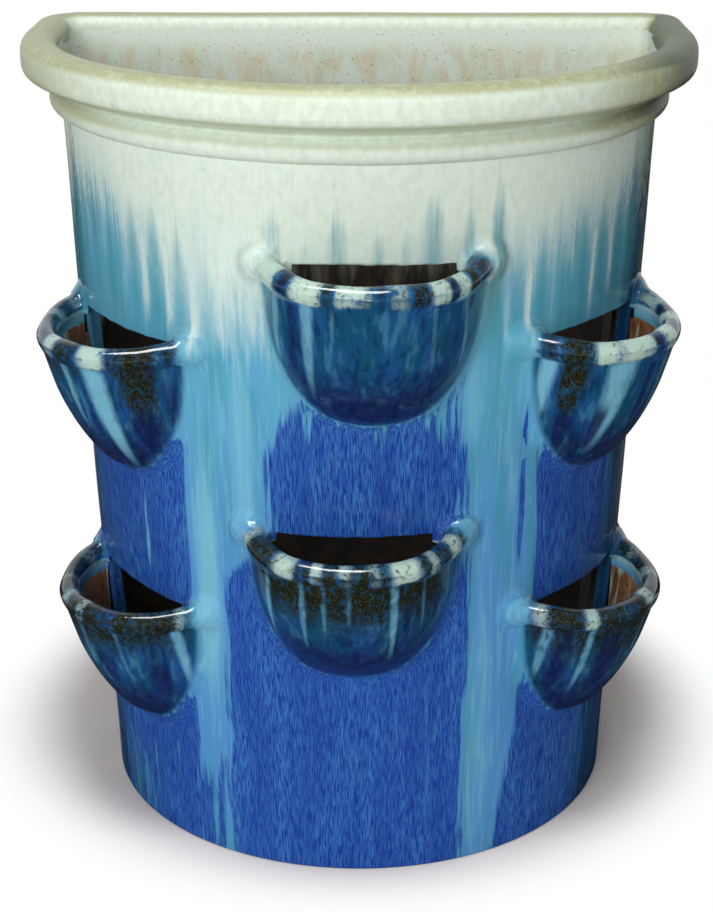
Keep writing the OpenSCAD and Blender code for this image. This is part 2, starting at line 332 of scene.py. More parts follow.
def pocket_parts(place, out, across, up):
    """Distances from the wall's face, from the bowl's clay, and from the lip with its lugs.

    The lip and the bowl's mouth hang down at the front by the sag, which fades out down the bowl.
    """
    turn, z, radius = wall_place(place, out, across, up)
    wall = radius - face_r(turn, z)
    up = up + LIP_SAG * smooth(out, -12.0, 46.0) * smooth(up, -75.0, -12.0)
    spread, depth, _ = bowl_place(place, out, across, up)
    outside = np.maximum(bowl_distance(spread, depth, 0.0), up)
    bowl = np.maximum(outside, -bowl_distance(spread, depth, BOWL_T))
    angle = np.degrees(np.arctan2(across, out + LIP_SET))
    ring = np.hypot(out + LIP_SET, across) - LIP_RING_R
    lip = np.hypot(ring * 1.04, up * 0.98) - lip_line(angle)
    lip = blend_union(lip, lug_distance(place, out, across, up), FILL_LUG)
    return wall, bowl, lip


def pocket_skin(place, out, across, up):
    """Distance from the glazed skin of a pocket, with every inner corner filled by glaze."""
    wall, bowl, lip = pocket_parts(place, out, across, up)
    return blend_union(blend_union(bowl, lip, FILL_LIP), wall, wall_fill(place, out, across, up))


def march(place, start, heading, near, far, inwards):
    """Follows rays to the skin by steps of the distance to it, from their far end or their near end."""
    t = np.full(heading.shape[:-1], far if inwards else near)
    pace = -RAY_PACE if inwards else RAY_PACE
    for _ in range(RAY_STEPS):
        p = start + heading * t[..., None]
        t = np.clip(t + pace * pocket_skin(place, *np.moveaxis(p, -1, 0)), near, far)
    p = start + heading * t[..., None]
    return p, np.abs(pocket_skin(place, *np.moveaxis(p, -1, 0))) < RAY_GAP


def skin_normals(place, p):
    """Outward normals of a pocket's skin, from the slope of its distance."""
    slopes = []
    for shift in np.eye(3) * RAY_GAP:
        ahead = pocket_skin(place, *np.moveaxis(p + shift, -1, 0))
        behind = pocket_skin(place, *np.moveaxis(p - shift, -1, 0))
        slopes.append(ahead - behind)
    out, across, up = unit(np.stack(slopes, -1)).T
    return triples(*facing(place, out, across), up)


def opening_outline(samples):
    """The edge of a wall opening, across and up: it narrows a little downwards, to large corners."""
    half, low = OPENING_W / 2.0, OPENING_LOW_W / 2.0
    corners = [
        (half - OPENING_TOP_R, OPENING_RISE - OPENING_TOP_R, OPENING_TOP_R, 0.0),
        (OPENING_TOP_R - half, OPENING_RISE - OPENING_TOP_R, OPENING_TOP_R, 90.0),
        (OPENING_TURN_R - low, OPENING_TURN_R - OPENING_DROP, OPENING_TURN_R, 180.0),
        (low - OPENING_TURN_R, OPENING_TURN_R - OPENING_DROP, OPENING_TURN_R, 270.0),
    ]
    points = []
    for x, z, r, first in corners:
        a = fan(first, first + 90.0, samples)
        points.append(np.stack([x + r * np.cos(a), z + r * np.sin(a)], -1))
    p = np.concatenate(points)
    p = np.concatenate([p, p[:1]])
    length = np.concatenate([[0.0], np.cumsum(np.linalg.norm(np.diff(p, axis=0), axis=1))])
    even = np.linspace(0.0, length[-1], 8 * samples)
    return np.interp(even, length, p[:, 0]), np.interp(even, length, p[:, 1])


def opening_reach(angle, seed):
    """Distance from an opening's middle to its edge at an angle in radians; glaze waves its top."""
    x, z = opening_outline(60)
    around = np.arctan2(z - OPENING_MIDDLE, x)
    order = np.argsort(around)
    reach = np.interp(angle, around[order], np.hypot(x, z - OPENING_MIDDLE)[order], period=2 * math.pi)
    top = smooth(np.sin(angle), 0.25, 0.6)
    across = reach * np.cos(angle)
    slow = np.sin(across / 21.0 + seed)
    middling = np.sin(across / 6.3 + seed) * np.sin(across / 17.0 + 2.0 * seed)
    quick = np.sin(across / 2.7 + 2.3 * seed) * np.sin(across / 9.0 + seed)
    return reach + top * (0.7 * slow + 0.35 * middling + 0.3 * quick)


# Meshes


def fan(first, last, count):
    """Even angles in radians between two given in degrees."""
    return np.radians(np.linspace(first, last, count))


def grid_faces(rows, columns, closed=False):
    """Quads of a grid of points, given row by row; a closed grid joins its last column to its first."""
    index = np.arange(rows * columns).reshape(rows, columns)
    right = np.roll(index, -1, axis=1) if closed else index[:, 1:]
    left = index if closed else index[:, :-1]
    quads = np.stack([left[:-1], right[:-1], right[1:], left[1:]], -1)
    return quads.reshape(-1, 4)


def face_normals(points, faces):
    """Normals of quads, from their diagonals."""
    a = points[faces[:, 2]] - points[faces[:, 0]]
    b = points[faces[:, 3]] - points[faces[:, 1]]
    return np.cross(a, b)


def trim(points, faces, normals, paint):
    """Drops the points that no face uses, and turns the faces the way of the normals."""
    wrong = np.einsum("ij,ij->i", face_normals(points, faces), normals[faces].mean(axis=1)) < 0.0
    faces = np.where(wrong[:, None], faces[:, ::-1], faces)
    used = np.unique(faces)
    place = np.full(len(points), -1)
    place[used] = np.arange(len(used))
    return points[used], place[faces], normals[used], {k: v[used] for k, v in paint.items()}


def make_piece(name, nodes, slot, material, points, faces, normals, paint=None):
    """Makes one piece of the pot: its mesh in metres, its painted glaze areas and its material."""
    points, faces, normals, paint = trim(points, faces, normals, paint or {})
    mesh = bpy.data.meshes.new(name)
    mesh.from_pydata((points / METRE).tolist(), [], faces.tolist())
    for key, values in paint.items():
        layer = mesh.attributes.new(key, "FLOAT", "POINT")
        layer.data.foreach_set("value", values.astype(np.float32).ravel())
    mesh.shade_smooth()
    mesh.normals_split_custom_set_from_vertices(normals.tolist())
    mesh.materials.append(material)
    piece = bpy.data.objects.new(name, mesh)
    bpy.context.scene.collection.objects.link(piece)
    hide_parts(*nodes)
    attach(piece, "root")


# Glaze painting: each area is a value from 0 to 1 that the materials feather and mix

LAYERS = ("deep", "pale", "cobalt", "cream", "teal", "dark", "olive", "tan", "clay", "lip")

# Broad columns of cobalt: the left and the right edge as places of (height, turn), how soft they are,
# the height where the top fades, over how much height, and the strength
COBALT_COLUMNS = (
    (
        ((0, -28.5), (265, -28.0), (315, -17.5), (380, -17.0), (430, -13.0)),
        ((0, 22.6), (265, 22.6), (305, 21.5), (420, 19.5)),
        6.0, 418.0, 90.0, 1.0,
    ),
    (((0, -110.0),), ((110, -36.5), (345, -36.0), (420, -37.0)), 3.5, 415.0, 60.0, 0.95),
    (((0, 29.5), (180, 36.5), (600, 37.0)), ((0, 110.0),), 3.5, 400.0, 70.0, 1.0),
    (((0, -110.0),), ((0, -28.0),), 6.0, 95.0, 80.0, 0.72),
)

# Runs of glaze on the wall: layer, turn, half width in degrees, top, low end and strength
WALL_RUNS = (
    ("teal", -69.5, 3.0, 614.0, 430.0, 1.0), ("teal", -65.0, 1.0, 600.0, 470.0, 0.5),
    ("teal", -59.5, 1.3, 590.0, 450.0, 0.6), ("teal", -53.5, 1.6, 588.0, 440.0, 0.8),
    ("teal", -46.0, 1.5, 592.0, 440.0, 0.75), ("teal", -40.5, 1.9, 590.0, 440.0, 0.8),
    ("teal", -34.5, 1.6, 580.0, 430.0, 0.7), ("teal", -29.0, 1.4, 562.0, 430.0, 0.45),
    ("teal", -15.5, 1.7, 596.0, 500.0, 0.6), ("teal", -9.0, 0.8, 574.0, 500.0, 0.35),
    ("teal", -4.0, 1.6, 590.0, 500.0, 0.75), ("teal", 3.0, 1.2, 576.0, 500.0, 0.6),
    ("teal", 8.0, 1.0, 580.0, 500.0, 0.5), ("teal", 12.8, 1.7, 606.0, 500.0, 0.85),
    ("teal", 19.5, 1.3, 600.0, 470.0, 0.75), ("teal", 25.0, 1.9, 622.0, 420.0, 1.0),
    ("teal", 29.5, 1.7, 575.0, 400.0, 0.7), ("teal", 35.0, 1.5, 580.0, 420.0, 0.8),
    ("teal", 40.0, 1.3, 572.0, 420.0, 0.7), ("teal", 45.5, 1.5, 590.0, 430.0, 0.8),
    ("teal", 51.0, 1.7, 594.0, 420.0, 0.9), ("teal", 57.0, 1.9, 600.0, 430.0, 1.0),
    ("teal", 63.0, 3.2, 614.0, 420.0, 1.0), ("cream", -43.0, 1.2, 590.0, 450.0, 0.75),
    ("cream", -37.4, 0.9, 580.0, 440.0, 0.75), ("cream", -31.5, 1.2, 570.0, 430.0, 0.7),
    ("cream", -25.5, 1.8, 560.0, 430.0, 0.5), ("pale", -21.0, 1.0, 540.0, 400.0, 0.5),
    ("cream", 22.5, 0.9, 612.0, 520.0, 1.0), ("cream", 27.4, 0.7, 580.0, 440.0, 0.5),
    ("cream", 32.0, 0.8, 570.0, 440.0, 0.6), ("cream", 48.4, 0.8, 590.0, 450.0, 0.6),
    ("cream", 54.3, 0.6, 585.0, 460.0, 0.6), ("pale", -22.5, 2.6, 520.0, 230.0, 0.6),
    ("pale", 21.5, 1.8, 500.0, 360.0, 0.5), ("pale", -31.5, 3.0, 450.0, 80.0, 0.75),
    ("pale", 25.4, 3.3, 330.0, -60.0, 0.42), ("pale", -48.0, 0.5, 352.0, 230.0, 0.7),
    ("pale", 30.0, 1.2, 480.0, 240.0, 0.35), ("cobalt", 33.0, 0.9, 450.0, 230.0, 0.9),
)

# Runs of glaze on each bowl: layer, angle, half width in degrees, depth at its top and its low end
BOWL_RUNS = {
    "upper_centre": (
        ("teal", -80.0, 12.0, -15.0, 120.0, 0.9), ("teal", 78.0, 13.0, -15.0, 120.0, 0.9),
        ("pale", -61.0, 3.6, -15.0, 112.0, 0.5), ("pale", -37.0, 4.0, -15.0, 116.0, 0.54),
        ("pale", -23.0, 1.6, -15.0, 50.0, 0.34), ("pale", 29.0, 1.8, -10.0, 84.0, 0.34),
        ("pale", 52.0, 2.2, -15.0, 100.0, 0.44), ("dark", -47.0, 4.4, -5.0, 112.0, 0.6),
        ("dark", -69.0, 2.4, 0.0, 80.0, 0.5), ("dark", 62.0, 5.0, 0.0, 100.0, 0.66),
    ),
    "lower_centre": (
        ("pale", -52.0, 2.6, -5.0, 108.0, 0.56), ("pale", -27.0, 2.3, -15.0, 92.0, 0.5),
        ("pale", -15.0, 1.8, -15.0, 74.0, 0.42), ("pale", -2.0, 2.0, -15.0, 50.0, 0.4),
        ("pale", 22.0, 2.6, -15.0, 112.0, 0.6), ("pale", 40.0, 1.6, -15.0, 80.0, 0.4),
        ("pale", 61.0, 1.8, -5.0, 80.0, 0.4), ("dark", -66.0, 5.0, 0.0, 90.0, 0.6),
        ("dark", 30.0, 3.0, 0.0, 90.0, 0.7), ("dark", 50.0, 4.0, 0.0, 90.0, 0.7),
        ("teal", -86.0, 7.0, -15.0, 100.0, 0.6), ("teal", 84.0, 7.0, -15.0, 100.0, 0.6),
    ),
    "upper_left": (
        ("pale", 27.0, 6.4, -20.0, 150.0, 0.74), ("pale", 8.0, 2.8, -15.0, 78.0, 0.6),
        ("olive", 50.0, 12.0, -15.0, 90.0, 0.8), ("dark", 47.0, 9.0, 20.0, 130.0, 0.95),
        ("dark", 66.0, 6.0, 0.0, 120.0, 0.7), ("teal", -72.0, 12.0, -10.0, 110.0, 0.7),
        ("pale", -30.0, 5.0, -10.0, 100.0, 0.5), ("dark", 17.0, 2.6, 20.0, 110.0, 0.6),
    ),
    "upper_right": (
        ("pale", -27.0, 8.0, -20.0, 118.0, 0.7), ("pale", -67.0, 5.0, -15.0, 120.0, 0.7),
        ("pale", 9.0, 5.0, -20.0, 96.0, 0.44), ("olive", -52.0, 7.5, -15.0, 80.0, 0.95),
        ("dark", -50.0, 6.5, 24.0, 130.0, 0.95), ("dark", -31.0, 4.6, 20.0, 112.0, 0.9),
        ("pale", 70.0, 10.0, -10.0, 100.0, 0.6), ("dark", -6.0, 3.0, -5.0, 110.0, 0.7),
        ("dark", 22.0, 6.0, -10.0, 100.0, 0.7),
    ),
    "lower_left": (
        ("dark", 47.0, 8.0, 10.0, 120.0, 0.8), ("pale", 29.0, 1.8, -10.0, 80.0, 0.34),
        ("pale", 64.0, 3.4, -10.0, 110.0, 0.6), ("pale", 3.0, 3.0, -10.0, 80.0, 0.4),
        ("dark", 15.0, 7.0, 0.0, 110.0, 0.6), ("teal", -62.0, 11.0, -10.0, 100.0, 0.7),
    ),
    "lower_right": (
        ("pale", -62.0, 3.6, -10.0, 100.0, 0.5), ("pale", -37.0, 2.6, -15.0, 104.0, 0.54),
        ("dark", -50.0, 6.0, -5.0, 116.0, 0.95), ("dark", -22.0, 9.0, -5.0, 116.0, 0.9),
        ("pale", 2.0, 2.2, -10.0, 90.0, 0.42), ("pale", 60.0, 7.0, -10.0, 90.0, 0.55),
    ),
}

# How far down the olive under the lip reaches on each bowl, and on a bowl with none
OLIVE_DEPTH = {"lower_centre": 34.0, "lower_right": 30.0, "lower_left": 18.0, "upper_left": 2.0}
NO_OLIVE = -30.0

# Patches of glaze along each lip: layer, angle and half width in degrees, and strength
LIP_PATCHES = {
    "upper_centre": (
        ("cream", -64, 10, 0.95), ("cream", -36, 9, 1.0), ("cream", -13, 9, 0.85), ("cream", 9, 6, 0.5),
        ("cream", 30, 8, 0.8), ("cream", 45, 7, 0.75), ("dark", -50, 3.5, 1.0), ("olive", -24, 2.6, 0.8),
        ("olive", 20, 5, 0.8), ("dark", 38, 2.2, 0.8), ("olive", 53, 3.6, 1.0), ("dark", 63, 5, 0.9),
        ("dark", 1, 2.5, 0.7),
    ),
    "lower_centre": (
        ("cream", -70, 8, 0.7), ("cream", -36, 8, 0.8), ("cream", -18, 4, 0.7), ("cream", -4, 5, 0.6),
        ("cream", 11, 4, 0.55), ("cream", 27, 9, 0.95), ("cream", 44, 4, 0.6), ("cream", 62, 6, 0.75),
        ("dark", 52, 3, 0.7), ("dark", -27, 2.5, 0.6),
    ),
    "upper_left": (
        ("cream", -70, 10, 0.5), ("cream", -48, 5, 0.5), ("cream", -4, 6, 0.85), ("cream", 27, 8, 1.0),
        ("dark", 16, 3, 0.7), ("dark", 38, 3, 0.7), ("olive", 50, 11, 1.0), ("olive", 9, 5, 0.9),
    ),
    "upper_right": (
        ("cream", -36, 9, 0.95), ("cream", -18, 12, 1.0), ("cream", 8, 8, 0.85), ("cream", 34, 9, 0.7),
        ("cream", 58, 12, 0.6), ("olive", -52, 8, 1.0), ("dark", -4, 3.4, 0.9), ("dark", 20, 5, 0.9),
        ("dark", 44, 5, 0.7),
    ),
    "lower_left": (
        ("cream", -60, 8, 0.5), ("cream", -12, 5, 0.6), ("cream", 6, 4, 0.6), ("cream", 66, 5, 0.55),
        ("cream", -34, 4, 0.5), ("dark", 24, 5, 0.6),
    ),
    "lower_right": (
        ("cream", -66, 6, 0.6), ("cream", -38, 5, 0.7), ("cream", 4, 6, 0.7), ("cream", 34, 8, 0.6),
        ("dark", -14, 5, 0.7), ("cream", 58, 8, 0.5),
    ),
}


def no_paint(shape):
    """Every layer at nothing."""
    return {key: np.zeros(shape) for key in LAYERS}


def mix_paint(a, b, share):
    """Each layer of a, going over to b as the share goes to 1."""
    return {key: a[key] + (b[key] - a[key]) * share for key in LAYERS}


def lay(p, layer, amount, covered=(), cover=1.0):
    """Lays an amount of one glaze on a paint, and takes away a share of the glazes it covers."""
    for other in covered:
        p[other] = p[other] * (1.0 - amount * cover)
    p[layer] = np.maximum(p[layer], amount)


def run(x, down, place, half, top, low):
    """A run of glaze: it starts thin and faint, swells along its middle line, and fades at its end."""
    length = way(down, top, low)
    width = half * (0.25 + 0.75 * smooth(length, 0.0, 0.45))
    side = np.clip(1.25 - 0.75 * np.abs(x - place) / np.maximum(width, 0.05), 0.0, 1.0)
    ends = smooth(length, 0.0, 0.04) * smooth(length, 1.0, 0.62)
    return side * (0.35 + 0.65 * smooth(length, 0.05, 0.4)) * ends


def drip(x, down, place, half, top, low):
    """A run from a pocket's lip: it starts broad and strong, thins on its way and fades at its end."""
    length = way(down, top, low)
    width = half * (1.15 - 0.7 * smooth(length, 0.1, 1.0))
    side = smooth(np.abs(x - place), 1.5 * width, 0.3 * width)
    return side * smooth(length, 0.0, 0.03 if top < 0.0 else 0.3) * smooth(length, 1.0, 0.45)


def column(turn, z, left, right, soft):
    """A broad column of glaze whose left and right edges are given as places of (height, turn)."""
    wander = 0.5 * np.sin(z / 37.0) + 0.4 * np.sin(z / 16.0 + 1.0)
    low = np.interp(z, *np.array(left).T) + wander
    high = np.interp(z, *np.array(right).T) + 0.8 * wander * np.cos(z / 90.0)
    return rise(turn, low, soft) * rise(turn, high, -soft)


def wall_paint(turn, z):
    """Glaze on the wall: cream at the top, turquoise below it, and cobalt in broad columns."""
    p = no_paint(np.shape(turn + z))
    edge = 512.0 + 8.0 * np.sin(np.radians(turn) * 5.0)
    edge = edge + 52.0 * smooth(turn, 16.0, 58.0) + 46.0 * smooth(turn, -34.0, -62.0)
    edge = edge - 16.0 * hump(turn, -27.0, 9.0) - 20.0 * hump(turn, -2.0, 12.0)
    p["cream"] = rise(z, edge, 140.0)
    for left, right, soft, top, fade, strength in COBALT_COLUMNS:
        lay(p, "cobalt", strength * column(turn, z, left, right, soft) * rise(z, top, -fade))
    deep = 0.85 * smooth(turn, 44.0, 62.0) * smooth(z, 200.0, 70.0) + 0.6 * band(turn, 61.0, 66.0, 1.5)
    deep = deep + 0.55 * smooth(turn, -40.0, -60.0) * smooth(z, 120.0, 30.0)
    deep = deep + 0.5 * band(turn, -73.5, -68.0, 1.5)
    # Partly painted shade: past 64 degrees on the right the wall is made deep, and its tan strip is weaker
    # than the left one.
    p["deep"] = np.clip(deep + 0.9 * smooth(turn, 64.0, 68.0), 0.0, 1.0)
    p["cobalt"] = p["cobalt"] * (1.0 - 0.85 * p["deep"])
    p["tan"] = 0.5 * rise(turn, 71.5, 5.0) * smooth(turn, 85.0, 80.0) * smooth(z, 150.0, 300.0)
    p["tan"] = p["tan"] + 0.75 * rise(turn, -76.0, -3.0) * smooth(turn, -84.5, -81.0)
    for layer, place, half, top, low, strength in WALL_RUNS:
        amount = strength * (0.8 if layer == "teal" else 1.0) * run(turn, -z, place, half, -top, -low)
        lay(p, layer, amount, ("teal", "cobalt") if layer in ("cream", "pale") else ())
    return p


def bowl_paint(name, angle, depth):
    """Glaze on a bowl: deep teal that turns violet at its foot, dark under the lip, with runs."""
    p = no_paint(np.shape(angle + depth))
    p["deep"] = p["deep"] + 1.0
    p["dark"] = 0.95 * smooth(depth, 14.0, 96.0) * smooth(np.abs(angle), 88.0, 44.0)
    p["olive"] = rise(depth, OLIVE_DEPTH.get(name, NO_OLIVE), -60.0) * smooth(np.abs(angle), 88.0, 62.0)
    for layer, place, half, first, last, strength in BOWL_RUNS[name]:
        amount = strength * drip(angle, depth, place, half, first, last)
        cover = 0.95 if layer in ("pale", "cream", "teal") else 0.4
        lay(p, layer, amount, ("olive", "dark", "cobalt"), cover)
    return p


def lip_paint(name, angle, wall):
    """Glaze on a lip: olive and navy with cream patches, going over to the wall's glaze at its lugs."""
    p = no_paint(np.shape(angle))
    olive = 0.55 if name.startswith("upper") else 0.9
    for layer, amount in (("deep", 1.0), ("lip", 1.0), ("olive", olive), ("dark", 0.25)):
        p[layer] = p[layer] + amount
    for layer, place, half, strength in LIP_PATCHES[name]:
        amount = strength * smooth(np.abs(angle - place), 1.7 * half, 0.2 * half)
        lay(p, layer, amount, ("olive", "dark", "cobalt", "cream"))
    lug = dict(wall)
    lug["pale"] = np.maximum(wall["pale"], 0.5)
    lug["cobalt"] = 0.5 * wall["cobalt"]
    if name == "upper_centre":
        lug["cream"] = np.maximum(wall["cream"], 0.7)
    return mix_paint(p, lug, smooth(np.abs(angle), 64.0, 78.0))


def pocket_paint(name, points):
    """Paint of a pocket's skin: the wall's, the bowl's and the lip's, by which one is nearest."""
    place = POCKETS[name]
    out, across, up = np.moveaxis(points, -1, 0)
    wall, bowl, lip = pocket_parts(place, out, across, up)
    turn, z, _ = wall_place(place, out, across, up)
    spread, depth, angle = bowl_place(place, out, across, up)
    ring = np.hypot(out + LIP_SET, across) - LIP_RING_R
    along = np.degrees(np.arctan2(across, out + LIP_SET))
    glaze_of_wall = wall_paint(turn, z)
    paint = mix_paint(glaze_of_wall, bowl_paint(name, angle, depth), smooth(wall - bowl, -2.0, 13.0))
    near_lip = smooth(np.minimum(bowl, wall) - lip, -1.5, 2.5)
    paint = mix_paint(paint, lip_paint(name, along, glaze_of_wall), near_lip)
    inside = smooth(bowl_distance(spread, depth, BOWL_T), 2.5, 0.0) * smooth(up, -1.0, -5.0) * (ring < 0.0)
    glazed = smooth(up, -20.0, -8.0)
    hollow = no_paint(inside.shape)
    hollow["clay"] = 1.0 - glazed
    hollow["pale"] = 0.8 * glazed * smooth(up, -20.0, -6.0)
    hollow["cream"] = 0.55 * glazed * smooth(up, -12.0, -2.0)
    return mix_paint(paint, hollow, inside)


# The front wall


def opening_blocks(turns, heights):
    """For each pocket, the block of grid cells round its opening: columns and rows, first and last."""
    blocks = {}
    for name, place in POCKETS.items():
        half = math.degrees(math.asin((OPENING_W / 2.0 + COLLAR) / wall_r(place[1])))
        low, high = place[1] - OPENING_DROP - COLLAR, place[1] + OPENING_RISE + COLLAR_ABOVE
        columns = np.searchsorted(turns, [place[0] - half, place[0] + half])
        rows = np.searchsorted(heights, [low, high])
        blocks[name] = (*columns.tolist(), *rows.tolist())
    return blocks


def block_border(block, columns):
    """Indices of the grid points round a block, once round anticlockwise as seen from the front."""
    c0, c1, r0, r1 = block
    bottom = r0 * columns + np.arange(c0, c1)
    right = np.arange(r0, r1) * columns + c1
    top = r1 * columns + np.arange(c1, c0, -1)
    left = np.arange(r1, r0, -1) * columns + c0
    return np.concatenate([bottom, right, top, left])


def cut_grid(rows, columns, blocks):
    """Faces of a grid without the cells of the blocks."""
    faces = grid_faces(rows, columns).reshape(rows - 1, columns - 1, 4)
    keep = np.ones((rows - 1, columns - 1), bool)
    for c0, c1, r0, r1 in blocks.values():
        keep[r0:r1, c0:c1] = False
    return faces[keep]


def wall_end():
    """The mark round the D where the front wall ends, part of the way round a back corner."""
    bend = math.degrees(math.asin((BACK_INNER_Y - BACK_Y + CORNER_R) / CORNER_R)) / 90.0
    return SIDE_STOP + (CORNER_STOP - SIDE_STOP) * bend


def wall_turns(step):
    """Places round the front wall: even steps on the front, then the sides and the back corners."""
    front = np.linspace(-FRONT_END, FRONT_END, int(2.0 * FRONT_END / step) + 1)
    side = FRONT_END + (SIDE_STOP - FRONT_END) * np.linspace(0.2, 1.0, 5)
    bend = SIDE_STOP + (wall_end() - SIDE_STOP) * np.linspace(0.2, 1.0, 5)
    right = np.concatenate([side, bend])
    return np.concatenate([-right[::-1], front, right])


def foot_rounding(z, r):
    """How far a wall's rounded foot steps back at a height, and how far its normals bend down."""
    near_foot = np.clip(r - z, 0.0, r)
    return r - np.sqrt(r**2 - near_foot**2), 1.5 * near_foot / r


def outer_face(turns, heights, foot_round):
    """Points of the wall's outer face: the D at each height, rounded at the foot, with hand waves."""
    t, z = np.meshgrid(turns, heights)
    x, y, nx, ny = d_path(t, wall_r(z), BACK_Y, CORNER_R)
    step_back, bend_down = foot_rounding(z, foot_round)
    off = unevenness(t, z) - step_back
    return triples(x + nx * off, y + ny * off, z), triples(nx, ny, -WALL_SLOPE - bend_down)


def inner_face(turns, heights):
    """Points of the wall's inner face: a circle in front and straight sides back to the back wall."""
    t, z = np.meshgrid(turns, heights)
    r = wall_r(z) - WALL_T
    turn = np.radians(np.clip(t, -FRONT_END, FRONT_END))
    back = way(np.abs(t), FRONT_END, wall_end()) * BACK_INNER_Y
    points = triples(r * np.sin(turn), -r * np.cos(turn) + back, z)
    return points, triples(-np.sin(turn), np.cos(turn), 0.0)


def opening_rings(name, border, sections):
    """Rings of points round an opening, one for each section.

    A section is (share, beyond, inset, slant): the ring lies that far beyond the opening's edge plus
    that share of the way to the border, the inset below the outer face, and its normals lean by the
    slant in degrees from straight out into the opening.
    """
    place = POCKETS[name]
    theta = math.radians(place[0])
    across = border[:, 0] * math.cos(theta) + border[:, 1] * math.sin(theta)
    up = border[:, 2] - place[1] - OPENING_MIDDLE
    angle = np.arctan2(up, across)
    edge = opening_reach(angle, place[0])
    inward = -triples(*facing(place, 0.0, np.cos(angle)), np.sin(angle))
    rings, normals = [], []
    for share, beyond, inset, slant in sections:
        reach = edge + beyond + (np.hypot(across, up) - edge - beyond) * share
        z = place[1] + OPENING_MIDDLE + reach * np.sin(angle)
        r = wall_r(z) - inset
        turn = place[0] + np.degrees(np.arcsin(reach * np.cos(angle) / r))
        r = r + unevenness(turn, z) * max(1.0 - 2.0 * inset / WALL_T, 0.0)
        a = np.radians(turn)
        out = triples(np.sin(a), -np.cos(a), 0.0)
        rings.append(triples(r * out[:, 0], r * out[:, 1], z))
        lean = math.radians(slant)
        normals.append(out * math.cos(lean) + inward * math.sin(lean))
    return rings, normals


def pierced_face(points, normals, turns, heights, sections):
    """A wall face with a collar of rings round each opening; returns points, faces and normals."""
    rows, columns = len(heights), len(turns)
    blocks = opening_blocks(turns, heights)
    all_points, all_normals, total = [points], [normals], len(points)
    faces = [cut_grid(rows, columns, blocks)]
    for name, block in blocks.items():
        border = block_border(block, columns)
        rings, ring_normals = opening_rings(name, points[border], sections)
        all_points += rings
        all_normals += ring_normals
        index = np.concatenate([border, total + np.arange(len(rings) * len(border))])
        faces.append(index[grid_faces(len(rings) + 1, len(border), closed=True)])
        total += len(rings) * len(border)
    return np.concatenate(all_points), np.concatenate(faces), unit(np.concatenate(all_normals))


def build_wall_outside(sizes):
    """The glazed outer face, over the rounded edges of the openings into their cut faces."""
    turns = wall_turns(0.75)
    heights = np.concatenate([FOOT_ROWS, np.linspace(sizes.foot_round, SHOULDER_Z, 180)])
    points, normals = outer_face(turns, heights, sizes.foot_round)
    r = sizes.edge_round
    sections = [(part, r, 0.0, 0.0) for part in (0.8, 0.6, 0.42, 0.26, 0.12, 0.0)]
    for slant in (18.0, 36.0, 54.0, 72.0, 90.0):
        b = math.radians(slant)
        sections.append((0.0, r * (1.0 - math.sin(b)), r * (1.0 - math.cos(b)), slant))
    sections += [(0.0, 0.0, depth, 90.0) for depth in (6.0, 8.5, 11.0)]
    points, faces, normals = pierced_face(points, normals, turns, heights, sections)
    turn = np.degrees(np.arctan2(points[:, 0], -np.minimum(points[:, 1], -1e-6)))
    return points, faces, normals, wall_paint(turn, points[:, 2])


def build_wall_inside(sizes):
    """The bare inner face and foot, over the edges of the openings to the middle of their cut faces."""
    turns = wall_turns(1.5)
    heights = np.linspace(0.0, SHOULDER_Z, 103)
    points, normals = inner_face(turns, heights)
    r = CUT_ROUND
    sections = [(part, r, WALL_T, 180.0) for part in (0.75, 0.5, 0.25)]
    for slant in (0.0, 30.0, 60.0, 90.0):
        b = math.radians(slant)
        sections.append((0.0, r * (1.0 - math.cos(b)), WALL_T - r * (1.0 - math.sin(b)), 180.0 - slant))
    sections += [(0.0, 0.0, depth, 90.0) for depth in (14.0, 11.0)]
    points, faces, normals = pierced_face(points, normals, turns, heights, sections)
    foot, _ = outer_face(turns, np.array([0.0]), sizes.foot_round)
    n = len(turns)
    ring = np.concatenate([np.arange(n), len(points) + np.arange(n)])
    faces = np.concatenate([faces, ring[grid_faces(2, n)]])
    normals = np.concatenate([normals, np.tile([0.0, 0.0, -1.0], (n, 1))])
    return np.concatenate([points, foot]), faces, normals


def build_back(sizes):
    """The flat back with its rounded upright edges and its underside."""
    corner = np.linspace(wall_end(), CORNER_STOP, 16)
    right = np.concatenate([corner, np.linspace(CORNER_STOP, BACK_MIDDLE, 40)[1:]])
    heights = np.concatenate([FOOT_ROWS, np.linspace(sizes.foot_round, SHOULDER_Z, 120)])
    t, z = np.meshgrid(np.concatenate([right, -right[::-1][1:]]), heights)
    x, y, nx, ny = d_path(t, wall_r(z), BACK_Y, CORNER_R)
    step_back, bend_down = foot_rounding(z, sizes.foot_round)
    points = triples(x - nx * step_back, y - ny * step_back, z)
    down = WALL_SLOPE * (1.0 - ny) + bend_down
    reach = wall_r(0.0) - WALL_T
    foot = points[: t.shape[1]]
    across = np.clip(foot[:, 0], -reach, reach)
    faces = np.concatenate([grid_faces(*t.shape), grid_faces(2, len(foot)) + t.size])
    points = np.concatenate([points, foot, triples(across, BACK_INNER_Y, 0.0)])
    normals = np.concatenate([triples(nx, ny, -down), np.tile([0.0, 0.0, -1.0], (2 * len(foot), 1))])
    return points, faces, unit(normals)


def build_back_inside():
    """The back's bare inner face: a flat trapezium as wide as the inside of the front."""
    part, z = np.meshgrid(np.linspace(-1.0, 1.0, 61), np.linspace(0.0, SHOULDER_Z, 120))
    points = triples(part * (wall_r(z) - WALL_T), BACK_INNER_Y, z)
    return points, grid_faces(*z.shape), triples(0.0 * z, -1.0, 0.0)


# The pockets' skins


def in_opening(place, across, up, margin):
    """Whether a place lies in its wall opening, or up to a margin outside the opening's edge."""
    reach = np.hypot(across, up - OPENING_MIDDLE)
    angle = np.arctan2(up - OPENING_MIDDLE, across)
    return reach < opening_reach(angle, place[0]) + margin


